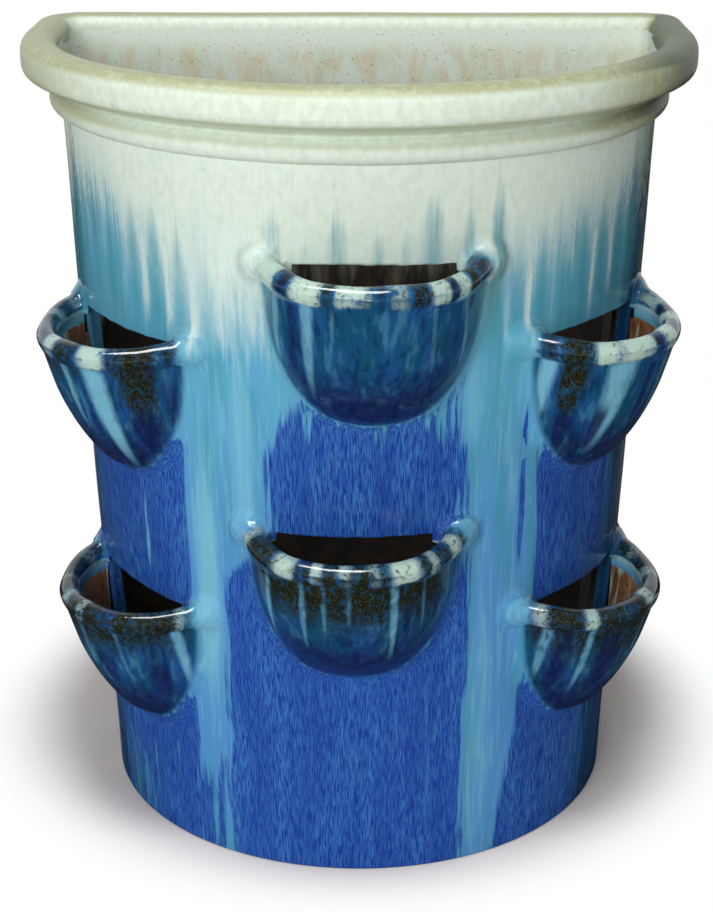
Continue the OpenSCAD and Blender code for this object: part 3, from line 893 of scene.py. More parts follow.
def bowl_outside(name):
    """The bowl's outside with its glaze fillet to the wall.

    The rays fan out from a point inside the pot, at the level of the lip, by a turn and a drop.
    """
    place = POCKETS[name]
    turn, drop = np.meshgrid(fan(-71.0, 71.0, 190), fan(-5.0, 68.0, 150))
    heading = np.stack([np.cos(drop) * np.cos(turn), np.cos(drop) * np.sin(turn), -np.sin(drop)], -1)
    p, found = march(place, BEHIND_BOWL, heading, near=20.0, far=215.0, inwards=True)
    near = np.moveaxis(p, -1, 0)
    wall, bowl, lip = pocket_parts(place, *near)
    on_wall = np.minimum(bowl, lip) - wall > wall_fill(place, *near) + WALL_LAP
    return p, found & ~on_wall & (bowl - lip < PATCH_LAP), grid_faces(*turn.shape)


def bowl_inside(name):
    """The bowl's inside and the margin of the wall round the opening.

    The rays fan out from a point in the mouth of the bowl, all round and down to straight below.
    """
    place = POCKETS[name]
    turn, tilt = np.meshgrid(fan(-180.0, 180.0, 181), fan(0.5, 106.0, 90))
    heading = np.stack([np.sin(tilt) * np.cos(turn), np.sin(tilt) * np.sin(turn), -np.cos(tilt)], -1)
    p, found = march(place, BOWL_MOUTH, heading, near=0.0, far=150.0, inwards=False)
    out, across, up = np.moveaxis(p, -1, 0)
    wall, bowl, lip = pocket_parts(place, out, across, up)
    open_way = in_opening(place, across, up, 1.0) & (wall < 0.5 * FILL_WALL) & (out < 4.0)
    return p, found & ~open_way & (bowl - lip < PATCH_LAP) & (up < 1.0), grid_faces(*turn.shape)


def lip_coil(name):
    """The coil of the lip: rays from its centre line, all round it and along it."""
    place = POCKETS[name]
    along, around = np.meshgrid(fan(-90.0, 90.0, 260), fan(-180.0, 180.0, 49))
    spread = np.stack([np.cos(around) * np.cos(along), np.cos(around) * np.sin(along), np.sin(around)], -1)
    centre = np.stack([LIP_RING_R * np.cos(along) - LIP_SET, LIP_RING_R * np.sin(along), 0.0 * along], -1)
    p, found = march(place, centre, spread, near=0.0, far=15.0, inwards=True)
    near = np.moveaxis(p, -1, 0)
    wall, bowl, lip = pocket_parts(place, *near)
    on_wall = lip - wall > wall_fill(place, *near) + WALL_LAP
    return p, found & ~on_wall & (lip - bowl < PATCH_LAP), grid_faces(*along.shape)


def lip_lug(name, side):
    """One lug with its fillet to the wall: rays from behind it, spread evenly over a square."""
    place = POCKETS[name]
    x, depth = lug_centre(place)
    square = np.linspace(-1.9, 1.9, 70)
    a, b = np.meshgrid(square, square)
    lean = math.asin(x / wall_r(place[1])) * side
    forward, sideways = math.cos(lean) - a * math.sin(lean), math.sin(lean) + a * math.cos(lean)
    heading = unit(np.stack([forward, sideways, b], -1))
    start = np.array([depth - LUG_BACK * math.cos(lean), side * x - LUG_BACK * math.sin(lean), LUG_RISE])
    p, found = march(place, start, heading, near=2.0, far=46.0, inwards=True)
    out, across, up = np.moveaxis(p, -1, 0)
    wall, bowl, lip = pocket_parts(place, out, across, up)
    open_way = in_opening(place, across, up, 1.5) & (out < depth + 6.0)
    on_wall = lip - wall > wall_fill(place, out, across, up) + WALL_LAP
    close_by = np.hypot(across - side * x, up - LUG_RISE) < LUG_PATCH_R
    return p, found & ~on_wall & (lip - bowl < FILL_LIP) & ~open_way & close_by, grid_faces(*a.shape)


def skin_piece(name, patches):
    """Joins the patches of a pocket's piece, with the faces whose four corners are kept.

    It returns points on the pot, faces, normals and paint.
    """
    place = POCKETS[name]
    points, faces, normals, total = [], [], [], 0
    for p, keep, quads in patches:
        p = p.reshape(-1, 3)
        quads = quads[keep.ravel()[quads].all(axis=1)]
        points.append(p)
        faces.append(quads + total)
        normals.append(skin_normals(place, p))
        total += len(p)
    near = np.concatenate(points)
    on_pot = to_pot(place, *near.T)
    return on_pot, np.concatenate(faces), np.concatenate(normals), pocket_paint(name, near)


# The mouth: bead, neck and rim


def arc(x, z, r, first, last, count):
    """Places on an arc, from one angle to another in degrees anticlockwise from straight out."""
    a = np.radians(np.linspace(first, last, count))
    return list(zip(x + r * np.cos(a), z + r * np.sin(a)))


def even_profile(corners, spacing, rounds, closed=False):
    """A profile through the given places at an even spacing, softened as wet clay is, with its normals.

    To soften it, each point moves to the mean of itself and its two neighbours, several times.
    """
    p = np.array(corners + corners[:1] if closed else corners)
    length = np.concatenate([[0.0], np.cumsum(np.hypot(*np.diff(p, axis=0).T))])
    even = np.linspace(0.0, length[-1], int(length[-1] / spacing) + 1)
    p = np.stack([np.interp(even, length, p[:, 0]), np.interp(even, length, p[:, 1])], -1)
    p = p[:-1] if closed else p
    for _ in range(rounds):
        mean = 0.25 * np.roll(p, 1, axis=0) + 0.5 * p + 0.25 * np.roll(p, -1, axis=0)
        p = mean if closed else np.concatenate([p[:1], mean[1:-1], p[-1:]])
    slope = np.roll(p, -1, axis=0) - np.roll(p, 1, axis=0)
    if not closed:
        slope[0], slope[-1] = p[1] - p[0], p[-1] - p[-2]
    return p, unit(np.stack([slope[:, 1], -slope[:, 0]], -1))


def mouth_turns():
    """Places all round the D: close on the front, closer round the back corners, and along the back."""
    front = np.linspace(-FRONT_END, FRONT_END, 241)
    side = np.linspace(FRONT_END, SIDE_STOP, 8)[1:]
    corner = np.linspace(SIDE_STOP, CORNER_STOP, 17)[1:]
    right = np.concatenate([side, corner, np.linspace(CORNER_STOP, BACK_MIDDLE, 31)[1:]])
    return np.concatenate([-right[::-1], front, right[:-1]])


def carry(profile, normals, turns, r, inset):
    """Carries a profile of (offset, height) round a D: as insets from its edge, or flush at its back.

    It returns points, normals, the way round the D, and which point of the profile each one is.
    """
    t, k = np.meshgrid(turns, np.arange(len(profile)))
    off, z = profile[k, 0], profile[k, 1]
    x, y, nx, ny = d_path(t, r if inset else r + off, BACK_Y, CORNER_R)
    turn = np.radians(t * WHOLE_TURN)
    sway = 0.45 * ripple(3.0 * np.cos(turn), 3.0 * np.sin(turn), 4.0)
    lift = 0.6 * ripple(2.5 * np.sin(turn), 2.5 * np.cos(turn), 2.0) * smooth(z, RIM_Z, RIM_TOP_Z)
    step = off * inset + sway * smooth(z, SHOULDER_Z, SHOULDER_Z + 12.0) * (ny < 0.99)
    turned = triples(nx * normals[k, 0], ny * normals[k, 0], normals[k, 1])
    turned = turned + (np.abs(turned).sum(-1, keepdims=True) < 0.05) * np.array([0.0, 1.0, 0.0])
    return triples(x + nx * step, y + ny * step, z + lift), unit(turned), t.ravel(), k.ravel()


def mouth_paint(tan_and_shade, t):
    """Glaze on the mouth: cream, thin tan along its crests, and tan and bronze, partly painted shade,
    towards its ends.
    """
    p = no_paint(np.shape(tan_and_shade))
    p["cream"] = p["cream"] + 1.0
    # Towards both ends the tan is partly thin glaze and partly painted shade; past 1 at the right end it
    # turns to shaded bronze.
    ends = 0.6 * smooth(t, 30.0, 75.0) + 0.55 * smooth(t, -36.0, -76.0)
    p["tan"] = np.clip(tan_and_shade + ends * smooth(np.abs(t), 130.0, 95.0), 0.0, 1.0)
    p["tan"] = p["tan"] + 0.9 * smooth(t, 34.0, 74.0) * smooth(t, 150.0, 100.0)
    return p


def build_bead_and_neck(sizes):
    """Bead, cove and flare on the outside, from the shoulder to the rim."""
    r = sizes.bead_radius
    outside = [(0.0, SHOULDER_Z - 0.5)] + arc(0.0, BEAD_Z, r, -84.0, 68.0, 26)
    outside += [(6.0, BEAD_Z + 12.0), (9.0, RIM_Z - 5.0), (13.0, RIM_Z - 2.0)]
    outside += [(19.0, RIM_Z - 0.3), (22.0, RIM_Z + 0.4)]
    profile, profile_n = even_profile(outside, 1.1, 3)
    turns = mouth_turns()
    points, normals, t, k = carry(profile, profile_n, turns, SHOULDER_R, False)
    off, z = profile[k, 0], profile[k, 1]
    # Tan on the bead's crest is thin glaze; in the cove under the rim and the crease under the bead it is
    # painted shade.
    tan_and_shade = 0.5 * hump(z, BEAD_Z + 4.0, 4.0) * (off > 6.0) + 0.55 * smooth(z, BEAD_Z + 8.0, BEAD_Z + 14.0)
    tan_and_shade = tan_and_shade + 0.3 * smooth(z, SHOULDER_Z + 5.0, SHOULDER_Z)
    return points, grid_faces(len(profile), len(turns), closed=True), normals, mouth_paint(tan_and_shade, t)


def build_neck_inside(sizes):
    """The flared inside of the neck, from the shoulder to the rim."""
    top = RIM_TOP_Z - sizes.rim_top_round
    heights = np.concatenate([np.linspace(SHOULDER_Z, RIM_Z, 9), np.linspace(RIM_Z, top, 7)[1:]])
    t, z = np.meshgrid(mouth_turns(), heights)
    proud = 0.5 * smooth(z, top, RIM_Z)
    neck_r, mouth_r = SHOULDER_R - WALL_T, RIM_R - RIM_W
    inner_r = neck_r + way(z, SHOULDER_Z, RIM_Z) * (mouth_r - neck_r)
    x, y, nx, ny = d_path(t, inner_r, BACK_INNER_Y, MOUTH_CORNER_R)
    points = triples(x - nx * proud, y - ny * proud, z)
    lean = 0.55 * smooth(z, RIM_Z + 4.0, RIM_Z - 4.0) * (np.abs(t) < SIDE_STOP)
    return points, grid_faces(*t.shape, closed=True), unit(triples(-nx, -ny, lean))


def build_rim(sizes):
    """The heavy rim: a closed section carried all round the mouth."""
    top, under, w = sizes.rim_top_round, sizes.rim_under_round, RIM_W
    section = [(-15.0, RIM_Z)] + arc(-under, RIM_Z + under, under, -90.0, 0.0, 10)
    section += arc(-top, RIM_TOP_Z - top, top, 0.0, 90.0, 14)
    section += arc(top - w, RIM_TOP_Z - top, top, 90.0, 180.0, 14)
    section += arc(3.0 - w, RIM_Z + 3.0, 3.0, 180.0, 270.0, 6)
    profile, profile_n = even_profile(section, 1.5, 4, closed=True)
    turns = mouth_turns()
    points, normals, t, k = carry(profile, profile_n, turns, RIM_R, True)
    rows, columns = len(profile), len(turns)
    index = np.concatenate([np.arange(rows * columns), np.arange(columns)])
    faces = index[grid_faces(rows + 1, columns, closed=True)]
    off, z = profile[k, 0], profile[k, 1]
    upper = smooth(z, RIM_TOP_Z - 9.0, RIM_TOP_Z - 2.0) * smooth(off, 3.0 - w, 9.0 - w)
    lower = smooth(z, RIM_Z + 6.0, RIM_Z + 1.5)
    paint = mouth_paint(0.26 + 0.74 * upper + 0.45 * lower, t)
    return points, faces, normals, paint


# Glazes and clays


def shade(colour):
    """An sRGB hex colour as the linear colour that Blender works in."""
    parts = [int(colour[i : i + 2], 16) / 255.0 for i in (1, 3, 5)]
    return tuple(c / 12.92 if c <= 0.04045 else ((c + 0.055) / 1.055) ** 2.4 for c in parts) + (1.0,)


def feed(tree, entry, value):
    """Gives a node's input a socket to link to, or a plain value, or a list, which is eased.

    The list is a value, the two ends of its range, and what they give if that isn't 0 and 1.
    """
    if isinstance(value, list):
        value = node(tree, "MapRange", value, interpolation_type="SMOOTHSTEP").outputs[0]
    if isinstance(value, bpy.types.NodeSocket):
        tree.links.new(value, entry)
    else:
        entry.default_value = value


def node(tree, kind, inputs=(), **settings):
    """Adds a node with its settings and its inputs, which come in their order or by their keys."""
    made = tree.nodes.new("ShaderNode" + kind)
    for key, value in settings.items():
        setattr(made, key, value)
    for key, value in inputs.items() if isinstance(inputs, dict) else enumerate(inputs):
        feed(tree, made.inputs[key], value)
    return made


def total(tree, *terms):
    """A sum of products: each term is a row of values to multiply."""
    whole = None
    for term in terms:
        product = term[0]
        for factor in term[1:]:
            product = node(tree, "Math", [product, factor], operation="MULTIPLY").outputs[0]
        if whole is not None:
            product = node(tree, "Math", [whole, product], operation="ADD").outputs[0]
        whole = product
    return whole


def grain(tree, place, across, along, detail, warp, shift):
    """Noise whose features are that many millimetres across and along the height."""
    scale = (METRE / across, METRE / across, METRE / along)
    moved = node(tree, "Mapping", {"Vector": place, "Scale": scale, "Location": (shift, shift, shift)})
    links = {"Vector": moved.outputs[0], "Scale": 1.0, "Detail": detail, "Distortion": warp}
    return node(tree, "TexNoise", links).outputs["Fac"]


def painted(tree, key, softness, *terms):
    """Mask of a painted layer: its value, moved by the sum of the terms, cut to an edge of a softness."""
    value = node(tree, "Attribute", attribute_name=key).outputs["Fac"]
    moved = total(tree, (value,), *terms)
    ease = [moved, 0.5 - softness, 0.5 + softness]
    return node(tree, "MapRange", ease, interpolation_type="SMOOTHSTEP").outputs[0]


def laid(tree, colours, colour, *layers):
    """A colour with others laid over it in turn: each layer is its amount and its colour.

    Colours are given by their names, or as sockets.
    """
    colour = colours[colour] if isinstance(colour, str) else colour
    for amount, top in layers:
        top = colours[top] if isinstance(top, str) else top
        colour = node(tree, "Mix", {0: amount, 6: colour, 7: top}, data_type="RGBA").outputs[2]
    return colour


def new_surface(name, **constants):
    """A material with its surface shader, and a pattern source on Object coordinates."""
    material = bpy.data.materials.new(name)
    material.use_nodes = True
    tree = material.node_tree
    shader = tree.nodes["Principled BSDF"]
    for key, value in constants.items():
        shader.inputs[key.replace("_", " ")].default_value = value
    place = node(tree, "TexCoord").outputs["Object"]
    return material, tree, shader, place


def finish_surface(tree, shader, colour, rough, relief, depth, strength):
    """Gives a surface its colour, its roughness and its relief, whose depth is in metres."""
    bump = node(tree, "Bump", {"Height": relief, "Distance": depth, "Strength": strength})
    feed(tree, shader.inputs["Base Color"], colour)
    feed(tree, shader.inputs["Roughness"], rough)
    feed(tree, shader.inputs["Normal"], bump.outputs[0])


def running_glaze(colours, name="running_glaze_on_stoneware", shine=0.5):
    """Glossy high-fired glaze that has run down stoneware.

    It gives the eye a wet shine over layered colours: cream that breaks into teal streaks, turquoise,
    and cobalt with fine upright rivulets about 2 mm apart. Drips are feathered along the height.
    """
    material, tree, shader, place = new_surface(name, IOR=1.5, Specular_IOR_Level=shine)
    sideways, _, height = node(tree, "SeparateXYZ", [place]).outputs
    on_pocket = node(tree, "Attribute", attribute_name="deep").outputs["Fac"]
    on_lip = node(tree, "Attribute", attribute_name="lip").outputs["Fac"]
    thin = node(tree, "Attribute", attribute_name="tan").outputs["Fac"]
    runs = grain(tree, place, 3.6, 70.0, 4.0, 0.3, 0.0)
    broad = grain(tree, place, 20.0, 150.0, 3.0, 0.4, 3.0)
    rivulets = grain(tree, place, 0.7, 14.0, 1.0, 0.1, 7.0)
    streaks = grain(tree, place, 8.0, 110.0, 1.5, 0.3, 9.0)
    cloud = grain(tree, place, 45.0, 60.0, 3.0, 0.2, 11.0)
    mottle = grain(tree, place, 6.0, 9.0, 3.0, 0.4, 5.0)
    specks = grain(tree, place, 1.3, 1.5, 2.0, 0.0, 2.0)
    peel = grain(tree, place, 6.0, 8.0, 2.0, 0.0, 13.0)
    spotty = total(tree, (mottle,), (-0.5,))
    flecks = total(tree, (grain(tree, place, 5.0, 4.0, 3.0, 0.8, 15.0),), (-0.5,))
    lip_flecks = total(tree, (flecks, on_lip, 1.6))
    jag = total(tree, (runs, 0.9), (broad, 0.5), (-0.7,))
    level = total(tree, (height,), (cloud, 0.2), (-0.1,))
    cool = total(tree, ([sideways, -0.2, -0.04, 0.34, 0.06],), ([runs, 0.46, 0.66, 0.0, 0.2],))
    cool = total(tree, (cool, [height, 0.53, 0.585, 1.0, 0.1], [broad, 0.3, 0.6, 1.2, 0.5]))

    # The glazes, each with its own clouds and streaks
    ground = laid(
        tree, colours, "sky",
        ([level, 0.24, 0.52], "turquoise"),
        ([broad, 0.34, 0.52, 0.55, 0.0], "teal"),
        ([runs, 0.5, 0.7, 0.0, 0.5], "pale"),
    )
    deep = laid(
        tree, colours, "deep_teal",
        ([broad, 0.35, 0.65], "deep_blue"),
        ([streaks, 0.52, 0.7, 0.0, 0.24], "turquoise"),
        ([streaks, 0.46, 0.3, 0.0, 0.6], "navy"),
        ([specks, 0.6, 0.7, 0.0, 0.2], "rivulet"),
    )
    cobalt = laid(
        tree, colours, "cobalt",
        ([rivulets, 0.42, 0.6], "rivulet"),
        ([broad, 0.35, 0.65, 0.5, 0.0], "cobalt"),
        ([runs, 0.55, 0.75, 0.0, 0.26], "sky"),
    )
    cream = laid(
        tree, colours, "cream",
        ([mottle, 0.35, 0.7, 0.0, 0.4], "sage"),
        (cool, "pale"),
        (total(tree, (on_pocket, 0.7)), "celadon"),
    )
    dark = laid(
        tree, colours, "navy",
        ([mottle, 0.35, 0.65], "violet"),
        (total(tree, (on_lip, [flecks, -0.12, 0.12, 0.3, 0.9])), "olive"),
    )
    olive = laid(
        tree, colours, "olive",
        ([specks, 0.5, 0.72], "ochre"),
        ([mottle, 0.48, 0.7, 0.0, 0.7], "deep_teal"),
    )
    # Tan amounts past 0.9 come from the rim's right end and turn it to shaded bronze, a painted shade.
    tan = laid(
        tree, colours, "tan",
        ([mottle, 0.4, 0.7, 0.0, 0.5], "sage"),
        ([thin, 0.9, 1.7], "bronze"),
    )
    clay = laid(
        tree, colours, "red_clay",
        ([cloud, 0.35, 0.65], "ochre_clay"),
        ([mottle, 0.5, 0.75, 0.0, 0.6], "dark_clay"),
        ([streaks, 0.56, 0.64, 0.0, 0.8], "celadon"),
    )

    # Where each one lies, from the ground up
    cobalt_area = painted(tree, "cobalt", 0.16, (jag, 1.7))
    feather = (spotty, [on_pocket, 0.0, 1.0, 0.2, 0.8])
    cream_area = painted(tree, "cream", 0.36, (jag, 0.7), feather, (lip_flecks, 0.55))
    clay_area = painted(tree, "clay", 0.12, (spotty, 0.6))
    colour = laid(
        tree, colours, ground,
        (painted(tree, "deep", 0.3, (jag, 0.4)), deep),
        (painted(tree, "pale", 0.4, (jag, 0.6)), "pale"),
        (cobalt_area, cobalt),
        (cream_area, cream),
        (total(tree, (painted(tree, "teal", 0.42, (jag, 0.8)), 0.8)), "teal"),
        (total(tree, (painted(tree, "dark", 0.42, (jag, 0.8), (lip_flecks,)), 0.9)), dark),
        (painted(tree, "olive", 0.3, (jag, 0.6), (spotty, 1.1), (lip_flecks,)), olive),
        (painted(tree, "tan", 0.45, (spotty, 0.5)), tan),
        (clay_area, clay),
    )
    satin = (cream_area, [on_pocket, 0.0, 1.0, 0.3, 0.04])
    rough = total(tree, ([mottle, 0.3, 0.7, 0.08, 0.15],), satin, (clay_area, 0.6))
    relief = total(tree, (peel, 0.5), (rivulets, cobalt_area, 0.35), (mottle, clay_area, 1.6))
    finish_surface(tree, shader, colour, rough, relief, 0.0006, 0.6)
    return material


def fired_clay(colours):
    """Stoneware clay left bare inside the pot, with thin glaze splashed near the mouth.

    It gives the eye a dry, dull brown with pinholes, painted almost black as painted shade of the pot's
    inside, and a pale grey-green wash with rusty streaks on top that fades out about 20 cm below the rim.
    """
    material, tree, shader, place = new_surface("bare_fired_stoneware", IOR=1.45)
    height = node(tree, "SeparateXYZ", [place]).outputs[2]
    streak = grain(tree, place, 13.0, 44.0, 4.0, 1.0, 1.0)
    patch = grain(tree, place, 30.0, 34.0, 4.0, 0.8, 4.0)
    pores = grain(tree, place, 2.4, 2.6, 2.0, 0.0, 6.0)
    washed = total(tree, (height,), (streak, 0.16), (-0.08,))
    wash = laid(
        tree, colours, "wash",
        ([patch, 0.36, 0.7, 0.0, 0.7], "sage"),
        ([streak, 0.38, 0.66, 0.0, 0.55], "peach"),
        ([height, 0.634, 0.656], "cream"),
    )
    # The near-black clays here are painted shade of the pot's inside.
    colour = laid(
        tree, colours, "dark_clay",
        ([patch, 0.35, 0.65], "brown_clay"),
        ([washed, 0.42, 0.56], wash),
        ([pores, 0.65, 0.72, 0.0, 0.6], "dark_clay"),
    )
    rough = [washed, 0.42, 0.56, 0.85, 0.32]
    finish_surface(tree, shader, colour, rough, total(tree, (pores,), (patch,)), 0.0008, 0.5)
    return material


def thin_glaze(colours):
    """Thin brown-grey glaze brushed over the flat back, where the clay's tooth shows through."""
    material, tree, shader, place = new_surface("thin_brushed_glaze_on_stoneware", IOR=1.48)
    strokes = grain(tree, place, 60.0, 5.0, 3.0, 0.3, 2.0)
    patch = grain(tree, place, 50.0, 70.0, 4.0, 0.6, 5.0)
    pores = grain(tree, place, 2.0, 2.2, 2.0, 0.0, 9.0)
    colour = laid(
        tree, colours, "tan",
        ([patch, 0.3, 0.9, 0.1, 0.7], "red_clay"),
        ([strokes, 0.45, 0.7, 0.0, 0.3], "wash"),
        ([pores, 0.68, 0.74, 0.0, 0.5], "dark_clay"),
    )
    rough = [patch, 0.3, 0.7, 0.35, 0.6]
    finish_surface(tree, shader, colour, rough, total(tree, (strokes,), (pores,)), 0.0005, 0.5)
    return material


# Each colour: its label, what it is on the pot, and its sRGB value
COLOURS = {
    "turquoise": ("Turquoise", "Main glaze between the streaks and the cobalt", "#5ba3be"),
    "sky": ("Sky blue", "Main glaze low down on the wall", "#4e8ac0"),
    "pale": ("Pale blue", "Thin runs where the glaze has drained", "#74b0c6"),
    "cobalt": ("Cobalt", "Broad columns of cobalt glaze", "#1b3c8f"),
    "rivulet": ("Rivulet blue", "Fine upright threads in the cobalt", "#3a70b5"),
    "cream": ("Cream", "Glaze round the mouth", "#d6e2d5"),
    "celadon": ("Celadon", "Cream glaze thinned over the pockets' lips", "#9dbcae"),
    "sage": ("Sage", "Cloudy parts of the cream glaze", "#c0cfb9"),
    "teal": ("Teal", "Streaks under the cream", "#428f9e"),
    "navy": ("Navy", "Dark streaks on the bowls", "#05173e"),
    "violet": ("Violet", "Foot of the bowls", "#161b54"),
    "deep_teal": ("Deep teal", "Dark glaze of the bowls", "#0f4766"),
    "deep_blue": ("Deep blue", "Cloudy parts of the bowls", "#1a4c84"),
    "olive": ("Olive", "Dark mottled glaze of the lips", "#161a0e"),
    "ochre": ("Ochre", "Specks in the olive glaze", "#403f24"),
    "tan": ("Tan", "Thin glaze at crests and edges", "#a7aa84"),
    # Shaded bronze is painted shade: the rim's right end, on the side away from the lamps.
    "bronze": ("Bronze", "Thin dark glaze at the right end of the rim", "#5c6650"),
    "red_clay": ("Red clay", "Clay inside the pockets", "#6e452d"),
    "ochre_clay": ("Ochre clay", "Rusty patches inside the pockets", "#a37c56"),
    # The inside's clays are painted almost black as painted shade of the pot's inside; dark clay also marks
    # pores and mottles.
    "brown_clay": ("Brown clay", "Bare clay of the inside", "#261809"),
    "dark_clay": ("Dark clay", "Shaded clay of the inside", "#0e0805"),
    "wash": ("Wash", "Pale wash inside the mouth", "#cfdacf"),
    "peach": ("Peach", "Rusty patches of the wash", "#cab28b"),
}


# Studio

WHITE = (1.0, 1.0, 1.0, 1.0)

# The camera's place in metres, how far it looks down in radians, and its lens in millimetres
CAMERA_PLACE = (-0.0024, -1.633, 0.923)
CAMERA_DOWN = 0.370
CAMERA_LENS = 76.42

# The middle, in metres, of the round part of the floor that holds the pot's shadow, where the floor is also
# painted darker as a painted shadow
SHADOW_MIDDLE = (0.0, 0.07, 0.0)

# How bright the even room is against its white backdrop
ROOM_LEVEL = 0.19

# Each lamp: its place and its aim, its width and height, all in metres, its watts, and whether it
# gives matt light and whether it shines in the glaze
LAMPS = {
    "overhead_softbox": ((0.0, -0.75, 2.5), (0.0, 0.0, 0.4), (0.8, 0.6), 24.0, True, False),
    "overhead_strip": ((-0.42, -0.5, 2.25), (0.0, 0.0, 0.45), (1.6, 0.6), 58.0, False, True),
    "front_softbox": ((-1.15, -3.5, 1.6), (0.0, 0.0, 0.35), (1.8, 1.8), 101.0, True, False),
}


def light_panel(name, place, aim, size, power, gives_light, shines):
    """A soft rectangular light at one place that faces another."""
    lamp = bpy.data.lights.new(name, "AREA")
    lamp.shape = "RECTANGLE"
    lamp.size, lamp.size_y = size
    lamp.energy = power
    panel = bpy.data.objects.new(name, lamp)
    panel.location = place
    panel.rotation_euler = (Vector(aim) - Vector(place)).to_track_quat("-Z", "Y").to_euler()
    panel.visible_diffuse, panel.visible_glossy = gives_light, shines
    bpy.context.scene.collection.objects.link(panel)


def where_seen(tree, plain, white, mirrored=1.0):
    """Light from the first shader, and the second where the camera or, by a share, a mirror sees it."""
    rays = node(tree, "LightPath").outputs
    shine = node(tree, "Math", [rays["Is Glossy Ray"], mirrored], operation="MULTIPLY").outputs[0]
    for name in ("Is Camera Ray", "Is Transmission Ray"):
        shine = node(tree, "Math", [shine, rays[name]], operation="MAXIMUM").outputs[0]
    return node(tree, "MixShader", [shine, plain, white]).outputs[0]


def studio_world():
    """A dim even room that lights the pot, and a white backdrop, which glaze mirrors only behind it."""
    world = bpy.data.worlds.new("room_and_backdrop")
    world.use_nodes = True
    tree = world.node_tree
    soft = node(tree, "Background", [shade("#f4f6f8"), ROOM_LEVEL]).outputs[0]
    white = node(tree, "Background", [WHITE, 1.0]).outputs[0]
    direction = node(tree, "TexCoord").outputs["Object"]
    away = node(tree, "SeparateXYZ", [direction]).outputs[1]
    out = where_seen(tree, soft, white, mirrored=[away, 0.3, 0.7])
    feed(tree, tree.nodes["World Output"].inputs[0], out)
    bpy.context.scene.world = world


def studio_ring(name, radii, height, material):
    """A flat round piece of the stage, through rings of some radii at a height, in metres."""
    r, t = np.meshgrid(radii, fan(0.0, 360.0, 65)[:-1], indexing="ij")
    points = triples(r * np.cos(t), r * np.sin(t), height)
    mesh = bpy.data.meshes.new(name)
    mesh.from_pydata(points.tolist(), [], grid_faces(*r.shape, closed=True)[:, ::-1].tolist())
    mesh.materials.append(material)
    ring = bpy.data.objects.new(name, mesh)
    bpy.context.scene.collection.objects.link(ring)
    return ring


def studio_floor():
    """A plain pale floor that holds the pot's shadow near it, painted darker round the pot as a painted
    shadow, and goes over to white farther off.
    """
    material, tree, shader, place = new_surface("matt_floor_with_painted_shadow", Roughness=0.9, Specular_IOR_Level=0.0)
    white = node(tree, "Emission", [WHITE, 1.0]).outputs[0]
    reach = node(tree, "VectorMath", [place, SHADOW_MIDDLE], operation="DISTANCE").outputs["Value"]
    # The floor's colour is darker near the pot: a painted shadow round its foot.
    inputs = {0: [reach, 0.27, 0.37], 6: shade("#d8d0ce"), 7: shade("#f7f5f4")}
    feed(tree, shader.inputs["Base Color"], node(tree, "Mix", inputs, data_type="RGBA").outputs[2])
    plain = shader.outputs[0]
    edge = [reach, 0.26, 0.375, 0.06, 1.0]
    out = node(tree, "MixShader", [edge, plain, where_seen(tree, plain, white)]).outputs[0]
    feed(tree, tree.nodes["Material Output"].inputs[0], out)
    studio_ring("studio_floor", np.linspace(0.0, 14.0, 15) ** 1.4, -0.0002, material)


def studio_cloth():
    """A dark cloth on the floor round the pot, out of the camera's sight, which only shine picks up.

    The pot in the photograph stands in a dim room, and its dark glazes have no pale sheen.
    """
    material, _, shader, _ = new_surface("dark_matt_cloth", Roughness=1.0, Specular_IOR_Level=0.0)
    shader.inputs["Base Color"].default_value = shade("#3c3c3e")
    cloth = studio_ring("studio_cloth", (0.215, 0.8, 1.6, 3.2), 0.001, material)
    cloth.visible_camera = cloth.visible_diffuse = False
    cloth.visible_shadow = cloth.visible_transmission = False


def studio_camera():
    """The photograph's viewpoint: at the front, about 25 cm above the rim, looking down 21 degrees."""
    data = bpy.data.cameras.new("camera")
    data.sensor_width, data.lens = 36.0, CAMERA_LENS
    data.clip_start, data.clip_end = 0.05, 60.0
    camera = bpy.data.objects.new("camera", data)
    camera.location = CAMERA_PLACE
    camera.rotation_euler = (math.pi / 2.0 - CAMERA_DOWN, 0.0, 0.0)
    bpy.context.scene.collection.objects.link(camera)
    bpy.context.scene.camera = camera


# Settings, operators and panel


def millimetres(label, about, default):
    """A length property in millimetres."""
    return bpy.props.FloatProperty(name=label, description=about, default=default, min=0.1, max=60.0)


class PlanterSizes(bpy.types.PropertyGroup):
    """Sizes of the planter's details, in millimetres."""

    foot_round: millimetres("Foot rounding", "Rounding of the wall's lower edge, in mm", 2.5)
    edge_round: millimetres("Opening rounding", "Rounding of glaze over an opening's edge, in mm", 3.2)
    bead_radius: millimetres("Bead radius", "Radius of the bead under the rim, in mm", 10.5)
    rim_top_round: millimetres("Rim top rounding", "Rounding of the rim's upper edges, in mm", 12.0)
    rim_under_round: millimetres("Rim lower rounding", "Rounding of the rim's lower edge, in mm", 9.0)


def colour_property(key):
    """A colour property whose default is one of the glazes."""
    label, about, colour = COLOURS[key]
    limits = {"min": 0.0, "max": 1.0, "default": shade(colour)[:3]}
    return bpy.props.FloatVectorProperty(name=label, description=about, subtype="COLOR", **limits)


class PlanterGlazes(bpy.types.PropertyGroup):
    """Colours of the planter's glazes and clays."""

    __annotations__ = {key: colour_property(key) for key in COLOURS}


def settings():
    """The scene's planter sizes and its glaze colours by name."""
    scene = bpy.context.scene
    return scene.planter_sizes, {key: (*getattr(scene.planter_glazes, key), 1.0) for key in COLOURS}


def surface(name, make):
    """The material of a name, made the first time that it is asked for."""
    return bpy.data.materials.get(name) or make(settings()[1])


def glaze():
    """The running glaze of the outside."""
    return surface("running_glaze_on_stoneware", running_glaze)


